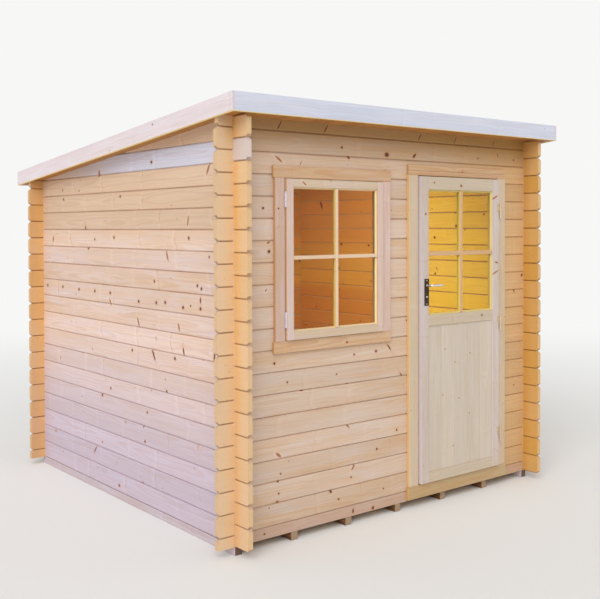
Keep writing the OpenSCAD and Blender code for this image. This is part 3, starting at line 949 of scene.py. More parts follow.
def drawn(path: Array, radii: Array, flat: Array, sides: int = 20) -> Shape:
    """A tube of changing size along a smooth path that lies in the XY plane.

    Ring i stands square to the path's direction there, found from its neighbours, and is an ellipse of
    half height radii times flat and half width radii.

    Args:
        path: (m, 3) points.
        radii: (m,) half widths.
        flat: (m,) height over width.
        sides: points of each ring.

    Returns:
        The closed tube.
    """
    ahead = np.gradient(path, axis=0)
    ahead /= np.linalg.norm(ahead, axis=1, keepdims=True)
    up = np.array([0.0, 0.0, 1.0])
    side = np.cross(ahead, up)
    angle = np.linspace(0, 2 * np.pi, sides, endpoint=False)
    rings = (path[:, None] + (radii[:, None] * np.cos(angle))[..., None] * side[:, None]
             + ((radii * flat)[:, None] * np.sin(angle))[..., None] * up)
    return loft(rings)


def put(shape: Shape, name: str, body: str, finish: bpy.types.Material,
        replaces: Sequence[str] = (), smooth: bool = False) -> bpy.types.Object:
    """Makes the object of a shape and ties it to the frame.

    Args:
        shape: the mesh.
        name: name of the piece.
        body: body that it moves with.
        finish: its material.
        replaces: CAD nodes that it stands for.
        smooth: whether its faces are shaded as one round surface.

    Returns:
        The object.
    """
    mesh = bpy.data.meshes.new(name)
    mesh.from_pydata(shape.points.tolist(), [], shape.faces)
    mesh.attributes.new("grain", "FLOAT_VECTOR", "POINT").data.foreach_set(
        "vector", shape.grain.astype(np.float32).ravel())
    mesh.attributes.new("timber", "FLOAT", "POINT").data.foreach_set(
        "value", shape.timber.astype(np.float32))
    mesh.attributes.new("sawn", "FLOAT", "POINT").data.foreach_set(
        "value", shape.sawn.astype(np.float32))
    mesh.polygons.foreach_set("use_smooth", np.full(len(mesh.polygons), smooth))
    mesh.materials.append(finish)
    mesh.update()
    made = bpy.data.objects.new(name, mesh)
    bpy.context.scene.collection.objects.link(made)
    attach(made, body)
    if replaces:
        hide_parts(*replaces)
    log.info("%s: %d faces on %s", name, len(shape.faces), body)
    return made


def repaint(frame: dict[str, Any], nodes: Sequence[str], finish: bpy.types.Material) -> None:
    """Gives CAD nodes a better material."""
    for name in nodes:
        mesh = frame["nodes"][name].data
        mesh.materials.clear()
        mesh.materials.append(finish)
        log.info("%s: %s", name, finish.name)


def screw_head(centre: Sequence[float], radius: float = 0.004) -> Shape:
    """A domed head facing -Y: the radius falls as the height over the face grows."""
    profile = [(0.0, radius), (-0.0008, radius * 0.92), (-0.0014, radius * 0.55), (-0.0016, radius * 0.15)]
    return turned(profile, centre, Along.Y, 12)


def uprights(low: Point, high: Point, width: float, number: int, soft: float = 0.002) -> list[Shape]:
    """Two upright timbers of one width, at the left and the right of a box.

    Args:
        low: the box's lowest corner.
        high: its highest corner.
        width: width of each timber.
        number: number of the left one.
        soft: radius of the edges.

    Returns:
        The two timbers.
    """
    return [bar((x, low[1], low[2]), (x + width, high[1], high[2]), Along.Z, number + i, soft)
            for i, x in enumerate((low[0], high[0] - width))]


def crosspieces(low: Point, high: Point, height: float, number: int) -> list[Shape]:
    """Two level timbers of one height, at the foot and the top of a box, with arguments as above."""
    return [bar((low[0], low[1], z), (high[0], high[1], z + height), Along.X, number + i)
            for i, z in enumerate((low[2], high[2] - height))]


def lining(low: Point, high: Point, side: float, foot: float, top: float, number: int) -> Shape:
    """Four boards round an opening: two full-height sides, then the foot and the top between them.

    Args:
        low: lowest corner of the whole.
        high: its highest corner.
        side: width of the sides.
        foot: height of the lower board.
        top: height of the upper one.
        number: number of the first board.

    Returns:
        The boards as one shape.
    """
    left, right = low[0] + side, high[0] - side
    return gather([
        bar((low[0], low[1], low[2]), (left, high[1], high[2]), Along.Z, number),
        bar((right, low[1], low[2]), (high[0], high[1], high[2]), Along.Z, number + 1),
        bar((left, low[1], low[2]), (right, high[1], low[2] + foot), Along.X, number + 2),
        bar((left, low[1], high[2] - top), (right, high[1], high[2]), Along.X, number + 3)])


# ---------------------------------------------------------------------------------------------------
# The cabin's finishes
# ---------------------------------------------------------------------------------------------------

KNOT_ROW = tuple(Knot(a, b, 0.011, 0.010) for a, b in (
    (2.28, 1.255), (2.03, 1.257), (1.78, 1.252), (1.55, 1.254), (1.34, 1.253), (0.98, 1.223),
    (0.775, 1.228), (0.675, 1.236), (0.485, 1.220), (0.31, 1.225)))
# Left logs: high is partly painted shade of the eaves; the log ends' colours hold painted warm bounce light
# and shade.
LEFT_LOGS = LogTimber(
    "left_log_wood", shade(228, 203, 190), shade(220, 188, 160), shade(224, 208, 212), wall=Wall.LEFT,
    high=shade(214, 184, 154), knot_share=0.42, knot_gap=0.28, knot_size=0.010, whorl_share=0.42,
    pale_course=17.0, start_ends_bounce_light=shade(226, 184, 130), far_ends_bounce_light=shade(214, 164, 104),
    crossing_bounce_light=shade(228, 164, 54), knots=(
        *KNOT_ROW, Knot(0.31, 1.269, 0.007, 0.017), Knot(2.18, 1.577, 0.007, 0.020, 12),
        Knot(0.423, 1.597, 0.009, 0.010), Knot(0.795, 1.348, 0.009, 0.009),
        Knot(0.34, 1.345, 0.009, 0.009), Knot(0.82, 2.026, 0.012, 0.009)),
    spikes=(
        Knot(0.65, 1.496, 0.010, 0.042, -22), Knot(0.43, 1.690, 0.009, 0.038, 14),
        Knot(1.48, 1.990, 0.016, 0.030, 10), Knot(0.23, 1.956, 0.011, 0.040, 30),
        Knot(0.985, 1.101, 0.010, 0.040, -24), Knot(0.53, 1.109, 0.010, 0.030, -20),
        Knot(1.34, 1.198, 0.010, 0.030, -20)))
# Right logs: the log ends' colours hold painted warm bounce light and shade.
RIGHT_LOGS = LogTimber("right_log_wood", shade(222, 196, 172), shade(212, 172, 130), wall=Wall.RIGHT,
                       start_ends_bounce_light=shade(207, 153, 56), crossing_bounce_light=shade(196, 137, 44), knot_share=0.6,
                       knot_gap=0.26, knot_size=0.010)
# Front logs: high is painted shade of the eaves on the top courses; the log ends' colours hold painted warm
# bounce light and shade.
FRONT_LOGS = LogTimber(
    "front_log_wood", shade(212, 190, 172), shade(202, 168, 132), shade(208, 194, 186),
    wall=Wall.FRONT, high=shade(162, 119, 48), high_from=1.99, knot_share=0.30, knot_gap=0.34,
    whorl_share=0.22, start_ends_bounce_light=shade(217, 187, 150), far_ends_bounce_light=shade(206, 150, 62),
    crossing_bounce_light=shade(226, 184, 126), end_colour=shade(220, 184, 142), knots=(
        Knot(0.290, 2.182, 0.034, 0.005, 58), Knot(0.605, 2.182, 0.034, 0.005, 58),
        Knot(1.330, 2.182, 0.030, 0.005, 58), Knot(1.640, 2.182, 0.030, 0.004, 58),
        Knot(2.000, 2.182, 0.030, 0.004, 58), Knot(0.720, 2.090, 0.009, 0.008),
        Knot(1.285, 2.070, 0.020, 0.009, 40), Knot(1.850, 2.080, 0.007, 0.007),
        Knot(2.200, 2.085, 0.007, 0.007), Knot(1.061, 2.066, 0.020, 0.015),
        Knot(0.770, 2.036, 0.010, 0.008), Knot(0.183, 1.752, 0.008, 0.007),
        Knot(0.220, 1.529, 0.010, 0.009, 30), Knot(0.975, 0.949, 0.009, 0.008),
        Knot(0.252, 0.948, 0.008, 0.008), Knot(0.808, 0.945, 0.007, 0.006),
        Knot(0.337, 0.841, 0.006, 0.006), Knot(0.678, 0.848, 0.005, 0.005),
        Knot(1.138, 0.477, 0.007, 0.007), Knot(0.275, 0.329, 0.007, 0.006),
        Knot(0.278, 0.265, 0.006, 0.006), Knot(0.783, 0.263, 0.006, 0.006),
        Knot(0.268, 0.224, 0.010, 0.005), Knot(0.635, 0.209, 0.010, 0.008),
        Knot(0.691, 0.158, 0.008, 0.006), Knot(1.032, 0.154, 0.006, 0.005),
        Knot(0.798, 0.071, 0.007, 0.015), Knot(0.949, 0.059, 0.010, 0.012),
        Knot(0.184, 0.072, 0.007, 0.006), Knot(2.288, 1.335, 0.012, 0.009, 40),
        Knot(2.208, 1.234, 0.006, 0.012), Knot(-0.079, 2.114, 0.008, 0.007),
        Knot(-0.056, 1.400, 0.005, 0.005), Knot(-0.049, 0.968, 0.007, 0.005),
        Knot(-0.032, 0.935, 0.011, 0.005), Knot(-0.063, 0.571, 0.005, 0.010)),
    spikes=(
        Knot(-0.016, 2.176, 0.034, 0.007, 45), Knot(0.285, 2.008, 0.034, 0.008, -35),
        Knot(0.217, 1.575, 0.016, 0.007, 20), Knot(0.200, 1.330, 0.012, 0.005, 60),
        Knot(0.277, 0.467, 0.026, 0.010, -38), Knot(0.799, 0.316, 0.026, 0.008, 52),
        Knot(0.435, 0.786, 0.016, 0.006), Knot(0.755, 0.790, 0.014, 0.006),
        Knot(2.100, 1.240, 0.024, 0.006, 30)))
# Back logs: the log ends' colour holds painted warm bounce light and shade.
BACK_LOGS = LogTimber("back_log_wood", shade(214, 191, 168), shade(204, 164, 122), wall=Wall.BACK,
                      start_ends_bounce_light=shade(208, 156, 92))
# Inner bearers: their dark sides are painted shade under the cabin.
BEARER = Timber("bearer_wood", shade(96, 66, 42), shade(82, 54, 34), shade(104, 80, 58), ring=0.006,
                ring_share=0.3, spread=0.25, rough=0.8, end_colour=shade(158, 136, 112))
# Edge bearers: their dark end colour is painted shade.
EDGE_BEARER = Timber("edge_bearer_wood", shade(200, 186, 192), shade(196, 174, 176),
                     shade(206, 200, 214), ring_share=0.12, end_colour=shade(84, 70, 62))
# Roof boards: darker orange as painted shade on their undersides.
BOARD = Timber("roof_board_wood", shade(196, 140, 76), shade(170, 112, 56), shade(190, 132, 72),
               ring_share=0.2)
PURLIN = LogTimber("purlin_wood", shade(220, 176, 112), shade(200, 146, 84), shade(214, 160, 96),
                   wall=Wall.FRONT)
FLOOR = Timber("floor_board_wood", shade(222, 182, 120), shade(206, 156, 92), shade(214, 170, 110),
               ring_share=0.2)
FASCIA = EdgeTimber("fascia_wood", shade(205, 208, 221), shade(190, 196, 214), shade(212, 212, 226),
                    ring_share=0.07, spread=0.04, knot_share=0.35, knot_gap=0.45, knot_row=0.10,
                    knot_size=0.007, whorl_share=0.12, ring=0.011, end_colour=shade(214, 210, 214))
SIDE_FASCIA = EdgeTimber("side_fascia_wood", shade(228, 216, 220), shade(220, 204, 206),
                         shade(230, 222, 228), ring_share=0.09, spread=0.03, knot_share=0.3,
                         knot_gap=0.5, knot_row=0.10, knot_size=0.006, whorl_share=0.12,
                         end_colour=shade(214, 210, 218))
# The flank colours below are painted light and shade on faces that look to -X: orange-brown shade on trims
# and sills, a yellow glow of the indoor light on bars and beads.
TRIM = Timber("trim_wood", shade(208, 180, 168), shade(202, 170, 146), shade(212, 190, 186),
              ring_share=0.12, knot_share=0.25, knot_gap=0.5, knot_size=0.006,
              left_face_painted_light=shade(200, 150, 98))
DOOR_TRIM = Timber("door_trim_wood", shade(206, 188, 162), shade(202, 178, 144), shade(204, 186, 170),
                   ring_share=0.12, knot_share=0.2, knot_gap=0.5, knot_size=0.006,
                   left_face_painted_light=shade(226, 182, 116))
HEAD_TRIM = Timber("head_trim_wood", shade(206, 174, 142), shade(200, 160, 116), shade(208, 182, 160),
                   ring_share=0.32, knot_share=0.3, knot_gap=0.45, left_face_painted_light=shade(194, 146, 94),
                   knots=(Knot(0.741, 1.021, 0.008, 0.006),))
JOINERY = Timber("joinery_wood", shade(212, 188, 178), shade(206, 180, 160), shade(214, 198, 196),
                 ring_share=0.10, knot_share=0.2, knot_gap=0.6, knot_size=0.006, spread=0.06,
                 left_face_painted_light=shade(222, 180, 138))
SASH_RAIL = Timber("sash_rail_wood", shade(208, 188, 164), shade(204, 180, 148), shade(210, 190, 180),
                   ring_share=0.14, knot_share=0.3, knot_gap=0.5, knot_size=0.006, spread=0.06,
                   spikes=(Knot(0.432, 1.884, 0.022, 0.006, -38), Knot(0.613, 1.905, 0.018, 0.004, -25)))
BAR = Timber("bar_wood", shade(224, 200, 172), shade(222, 190, 156), shade(224, 204, 186),
             ring_share=0.08, knot_share=0.3, knot_gap=0.3, knot_size=0.006, spread=0.05,
             left_face_painted_light=shade(240, 204, 110))
BEAD = Timber("bead_wood", shade(232, 208, 162), shade(222, 192, 140), shade(236, 212, 176),
              ring_share=0.08, knot_share=0.0, spread=0.08, left_face_painted_light=shade(250, 226, 166))
LEAF = Timber("door_wood", shade(202, 188, 180), shade(196, 178, 158), shade(206, 198, 204),
              ring_share=0.10, knot_share=0.22, knot_gap=0.5, knot_size=0.007, spread=0.07,
              left_face_painted_light=shade(208, 196, 200), knots=(Knot(1.340, 1.729, 0.007, 0.006),),
              spikes=(Knot(1.964, 1.835, 0.044, 0.008, 24), Knot(1.972, 1.364, 0.044, 0.007, 24)))
DOOR_BAR = Timber("door_bar_wood", shade(206, 170, 130), shade(204, 160, 112), shade(208, 176, 144),
                  ring_share=0.10, knot_share=0.3, knot_gap=0.3, knot_size=0.006, spread=0.05,
                  left_face_painted_light=shade(230, 204, 92))
DOOR_BEAD = Timber("door_bead_wood", shade(216, 198, 124), shade(206, 182, 104), shade(216, 200, 144),
                   ring_share=0.08, knot_share=0.0, spread=0.08, left_face_painted_light=shade(232, 208, 110))
SILL = Timber("sill_wood", shade(190, 166, 128), shade(182, 152, 108), shade(188, 170, 144),
              ring_share=0.20, knot_share=0.3, knot_gap=0.45, left_face_painted_light=shade(206, 150, 80))
LEAF_RAIL = Timber("door_rail_wood", shade(200, 185, 164), shade(196, 178, 152), shade(201, 187, 175),
                   ring_share=0.09, knot_share=0.0, spread=0.05,
                   knots=(Knot(1.413, 1.915, 0.006, 0.005), Knot(1.651, 1.902, 0.009, 0.007),
                          Knot(1.844, 1.103, 0.007, 0.008)))
PANEL = Timber("panel_wood", shade(202, 190, 174), shade(198, 184, 164), shade(204, 192, 184),
               ring_share=0.08, knot_share=0.25, knot_gap=0.4, knot_row=0.12, knot_size=0.006,
               spread=0.06, whorl_share=0.12, knots=(
                   Knot(1.739, 0.874, 0.004, 0.004),
                   Knot(1.513, 0.918, 0.004, 0.004),
                   Knot(1.602, 0.831, 0.004, 0.004),
                   Knot(1.638, 0.607, 0.004, 0.004),
                   Knot(1.495, 0.642, 0.004, 0.004)))
ZINC = Metal("zinc_steel", shade(232, 228, 240), shade(168, 172, 190), 0.30)
BRASSED = Metal("yellow_zinc_steel", shade(214, 192, 160), shade(186, 164, 134), 0.42, 0.6)
POLISHED = Metal("polished_lever", shade(226, 222, 214), shade(186, 176, 160), 0.16)
BRONZE = Metal("dark_bronze", shade(66, 58, 50), shade(112, 98, 82), 0.38)
PANE = Glass("window_pane")
FELT = MineralFelt("mineral_felt")


# ---------------------------------------------------------------------------------------------------
# Sub-assemblies
# ---------------------------------------------------------------------------------------------------


@dataclass
class LogWalls:
    """The four walls, which stay as the frame has them.

    Attributes:
        frame: what the frame holds, by name.
    """

    frame: dict[str, Any]

    def dress(self) -> None:
        """Gives each wall the wood of its own courses."""
        repaint(self.frame, ("left_logs_a", "left_logs_b"), LEFT_LOGS.make())
        repaint(self.frame, ("right_logs_a", "right_logs_b"), RIGHT_LOGS.make())
        repaint(self.frame, ("back_logs_a", "back_logs_b"), BACK_LOGS.make())
        front = ("front_left_logs", "front_right_logs", "front_top_logs")
        repaint(self.frame, [f"{name}_{half}" for name in front for half in "ab"], FRONT_LOGS.make())


@dataclass
class Base:
    """Bearers and the boarded floor.

    Attributes:
        boards: number of floor boards.
        bearer_xs: left edges of the bearers from the left wall.
        bearer_w: width of a bearer.
    """

    boards: int = 20
    bearer_xs: tuple[float, ...] = (0.0, 0.359, 0.741, 1.123, 1.505, 1.887, 2.285)
    bearer_w: float = 0.045

    def build(self) -> None:
        """Sets out the bearers and the floor boards."""
        low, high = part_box("floor_bearers")
        bearers = [bar((x - HALF_W, low.y, low.z), (x - HALF_W + self.bearer_w, high.y, high.z), Along.Y,
                       500 + i, 0.003) for i, x in enumerate(self.bearer_xs)]
        put(gather(bearers[1:-1]), "bearers", "cabin", BEARER.make(), ["floor_bearers"])
        put(gather([bearers[0], bearers[-1]]), "edge_bearers", "cabin",
            EDGE_BEARER.make(), ["floor_bearers"])
        low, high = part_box("floor_base")
        edges = np.linspace(low.y, high.y, self.boards + 1)
        boards = [bar((low.x, a, low.z), (high.x, b - 0.0006, high.z), Along.X, 520 + i, 0.0022)
                  for i, (a, b) in enumerate(zip(edges[:-1], edges[1:]))]
        put(gather(boards), "floor_boards", "cabin", FLOOR.make(), ["floor_base"])


@dataclass
class Roof:
    """Boards, felt and edge boards of the sloping roof.

    Attributes:
        fall: drop of the roof for each metre towards the back.
        boards: number of roof boards side by side.
        board_t: their thickness.
        felt_t: thickness of the felt.
        strips: number of felt strips from eave to eave.
        lap: overlap of the strips.
        edge_h: height of the edge boards.
        edge_t: their thickness.
        drop: how far they hang below the boards.
        level_y: where the slope starts, at the front wall's outer face.
    """

    fall: float = 2 * LOG_H / WALL_D
    boards: int = 22
    board_t: float = 0.018
    felt_t: float = 0.003
    strips: int = 3
    lap: float = 0.08
    edge_h: float = 0.097
    edge_t: float = 0.018
    drop: float = 0.014
    level_y: float = -HALF_D

    def build(self) -> None:
        """Builds the boards, then the felt, then the edge boards."""
        self.lay_boards()
        self.lay_felt()
        self.edge()

    def slab(self, low: Point, high: Point, along: Along, number: int, soft: float = 0.002) -> Shape:
        """A bar laid on the roof's slope; its heights count from the top of the front wall."""
        level = bar((low[0], low[1], low[2] + WALL_TOP), (high[0], high[1], high[2] + WALL_TOP), along,
                    number, soft)
        return level.sloped(self.fall, self.level_y)

    def lay_boards(self) -> None:
        """Boards run down the slope, with softened edges that show as lines from below."""
        low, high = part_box("roof_deck")
        edges = np.linspace(low.x, high.x, self.boards + 1)
        rows = [self.slab((a, low.y, 0.0002), (b - 0.0006, high.y, self.board_t), Along.Y, 600 + i, 0.003)
                for i, (a, b) in enumerate(zip(edges[:-1], edges[1:]))]
        put(gather(rows), "roof_boards", "cabin", BOARD.make(), ["roof_deck"])

    def lay_felt(self) -> None:
        """Each strip laps over the one below it."""
        low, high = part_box("roof_felt")
        edges = np.linspace(low.y, high.y, self.strips + 1)
        rows = []
        for i in range(self.strips):
            lift = self.felt_t * (self.strips - 1 - i) * 0.5
            stop = edges[i + 1] + (self.lap if i < self.strips - 1 else 0.0)
            rows.append(self.ply(low.x, high.x, edges[i], stop, lift, i))
        put(gather(rows), "felt_strips", "cabin", FELT.make(), ["roof_felt"])

    def ply(self, x0: float, x1: float, y0: float, y1: float, lift: float, number: int) -> Shape:
        """One strip of felt with slow waves: a grid of tops over a grid of undersides.

        The top is the slope plus two slow sines, which fade to nothing at the strip's edges.
        """
        nx, ny = 40, 14
        u, v = np.meshgrid(np.linspace(0, 1, nx), np.linspace(0, 1, ny), indexing="ij")
        x, y = x0 + (x1 - x0) * u, y0 + (y1 - y0) * v
        fade = np.sin(np.pi * u) * np.sin(np.pi * v)
        wave = 0.0009 * (np.sin(9.0 * x + 1.7 * number) * np.sin(7.0 * y + number) + 1.0) * fade
        z = WALL_TOP - self.fall * (y - self.level_y) + self.board_t
        ramp = lift + self.felt_t * 1.02 * (v > 0.9) * (lift > 0)
        upper = np.stack([x, y, z + self.felt_t + wave + ramp], axis=-1)
        lower = np.stack([x, y, z + 0.0002 + ramp], axis=-1)
        rings = np.concatenate([upper, lower[:, ::-1]], axis=1)
        return loft(rings)

    def edge(self) -> None:
        """Front, back and side edge boards."""
        low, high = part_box("front_fascia")
        put(bar(low, high, Along.X, 640, 0.0025), "front_edge_board", "cabin",
            FASCIA.make(), ["front_fascia"])
        low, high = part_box("back_fascia")
        back = self.slab((low.x, low.y, -self.drop), (high.x, high.y, self.board_t + self.felt_t), Along.X,
                         641, 0.0025)
        put(back, "back_edge_board", "cabin", SIDE_FASCIA.make(), ["back_fascia"])
        low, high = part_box("side_fascias")
        sides = [self.slab((x, low.y, -self.drop), (x + self.edge_t, high.y, self.edge_h - self.drop),
                           Along.Y, 642 + i, 0.0025)
                 for i, x in enumerate((low.x, high.x - self.edge_t))]
        put(gather(sides), "side_edge_boards", "cabin", SIDE_FASCIA.make(),
            ["side_fascias"])


@dataclass
class Bars:
    """Glazing bars and beads of one pane area.

    Attributes:
        x0: left edge of the glazed area.
        x1: its right edge.
        z0: its lower edge.
        z1: its upper edge.
        front: y of the bars' front face.
        rim: y of the beads' front edge.
        pane: y of the glass's front face.
        pane_t: glass thickness.
        back: y of the bars' back face.
        wide: width of a bar.
        bead: width of the beads round the edge.
        cross_z: middle height of the cross bar.
        mid_x: middle of the upright bar.
    """

    x0: float
    x1: float
    z0: float
    z1: float
    front: float
    rim: float
    pane: float
    pane_t: float
    back: float
    wide: float
    bead: float
    cross_z: float
    mid_x: float

    def bars(self, number: int) -> Shape:
        """An upright and two cross bars on both sides of the glass, with bevelled front edges."""
        made = []
        for y, face, sign in ((self.pane, self.front, -1.0), (self.pane + self.pane_t, self.back, 1.0)):
            deep, half, edge = abs(face - y), self.wide / 2, 0.0022
            section = np.array([[-half, 0.0], [half, 0.0], [half, deep - edge], [half - edge, deep],
                                [edge - half, deep], [-half, deep - edge]])
            out, reach, z = (0.0, sign, 0.0), self.bead * 0.4, self.cross_z
            made.append(strip(section, ((self.mid_x, y, self.z0 + reach), (self.mid_x, y, self.z1 - reach)),
                              (1.0, 0.0, 0.0), out, number))
            for i, (a, b) in enumerate(((self.x0 + reach, self.mid_x - half + 0.001),
                                        (self.mid_x + half - 0.001, self.x1 - reach))):
                made.append(strip(section, ((a, y, z), (b, y, z)), (0.0, 0.0, 1.0), out, number + 1 + i))
        return gather(made)

    def beads(self, number: int) -> Shape:
        """Four mitred beads on both sides, which slope from the frame down to the glass."""
        made = []
        for y, face, sign in ((self.pane, self.rim, -1.0), (self.pane + self.pane_t, self.back, 1.0)):
            deep = abs(face - y)
            section = np.array([[0.0, 0.0], [self.bead, 0.0], [self.bead, deep * 0.2],
                                [self.bead * 0.15, deep], [0.0, deep]])
            out = (0.0, sign, 0.0)
            runs = (((self.x0, y, self.z0), (self.x0, y, self.z1), (1.0, 0.0, 0.0)),
                    ((self.x1, y, self.z0), (self.x1, y, self.z1), (-1.0, 0.0, 0.0)),
                    ((self.x0, y, self.z0), (self.x1, y, self.z0), (0.0, 0.0, 1.0)),
                    ((self.x0, y, self.z1), (self.x1, y, self.z1), (0.0, 0.0, -1.0)))
            made += [strip(section, (a, b), side, out, number + i, (1.0, -1.0))
                     for i, (a, b, side) in enumerate(runs)]
        return gather(made)


@dataclass
class Window:
    """Frame, trim, sash, bars and hinges of the window.

    Attributes:
        frame: what the frame holds, by name.
        member: width of the sash members.
        trim_w: width of the trim boards.
        bar_w: width of a glazing bar.
        bead_w: width of a bead.
        lap: how far the sash laps over the lining behind it.
        hinge_h: height of a hinge barrel.
    """

    frame: dict[str, Any]
    member: float = 0.044
    trim_w: float = 0.062
    bar_w: float = 0.020
    bead_w: float = 0.008
    lap: float = 0.016
    hinge_h: float = 0.076

    def build(self) -> None:
        """Builds the window from the wall outwards."""
        trim, head, joinery, rail = TRIM.make(), HEAD_TRIM.make(), JOINERY.make(), SASH_RAIL.make()
        posts = uprights(*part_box("window_trim_uprights"), self.trim_w, 700)
        put(gather(posts), "window_trim_posts", "cabin", trim, ["window_trim_uprights"])
        boards = crosspieces(*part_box("window_trim_rails"), self.trim_w, 704)
        put(gather(boards), "window_trim_boards", "cabin", head, ["window_trim_rails"])
        s_low, s_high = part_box("sash_stiles")
        stiles = uprights(s_low, s_high, self.member, 710)
        put(gather(stiles), "sash_uprights", "cabin", joinery, ["sash_stiles"])
        rails = crosspieces(*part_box("sash_rails"), self.member, 714)
        put(gather(rails), "sash_crosspieces", "cabin", rail, ["sash_rails"])
        glass_low, glass_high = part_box("window_glass")
        bars = Bars(glass_low.x, glass_high.x, glass_low.z, glass_high.z, s_low.y + 0.002, s_low.y + 0.008,
                    glass_low.y, glass_high.y - glass_low.y, s_high.y - 0.001, self.bar_w, self.bead_w,
                    CROSS_Z, (glass_low.x + glass_high.x) / 2)
        put(bars.bars(720), "window_bars", "cabin", BAR.make())
        put(bars.beads(726), "window_beads", "cabin", BEAD.make())
        repaint(self.frame, ["window_glass"], PANE.make())
        self.linings(trim)
        self.hinges()

    def linings(self, finish: bpy.types.Material) -> None:
        """The frame in the wall and the trim on the inner face."""
        s_low, s_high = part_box("sash_stiles")
        for node, name, number in (("window_frame", "window_lining", 730),
                                   ("window_inner_trim", "window_inner_boards", 735)):
            low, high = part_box(node)
            side, foot = s_low.x + self.lap - low.x, s_low.z + self.lap - low.z
            boards = lining(low, high, side, foot, high.z - s_high.z + self.lap, number)
            put(boards, name, "cabin", finish, [node])

    def hinges(self) -> None:
        """Zinc barrels with a ball at each end."""
        low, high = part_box("window_hinges")
        zinc = ZINC.make()
        repaint(self.frame, ["window_hinges"], zinc)
        centre_x, centre_y, r = (low.x + high.x) / 2, (low.y + high.y) / 2, 0.0050
        tips = []
        for z0 in (low.z, high.z - self.hinge_h):
            for z, way in ((z0, -1.0), (z0 + self.hinge_h, 1.0)):
                ball = [(0.0, r), (way * 0.002, r * 1.05), (way * 0.004, r * 0.8), (way * 0.0055, r * 0.25)]
                tips.append(turned(ball, (centre_x, centre_y, z), Along.Z, 16))
        put(gather(tips), "window_hinge_tips", "cabin", zinc, smooth=True)


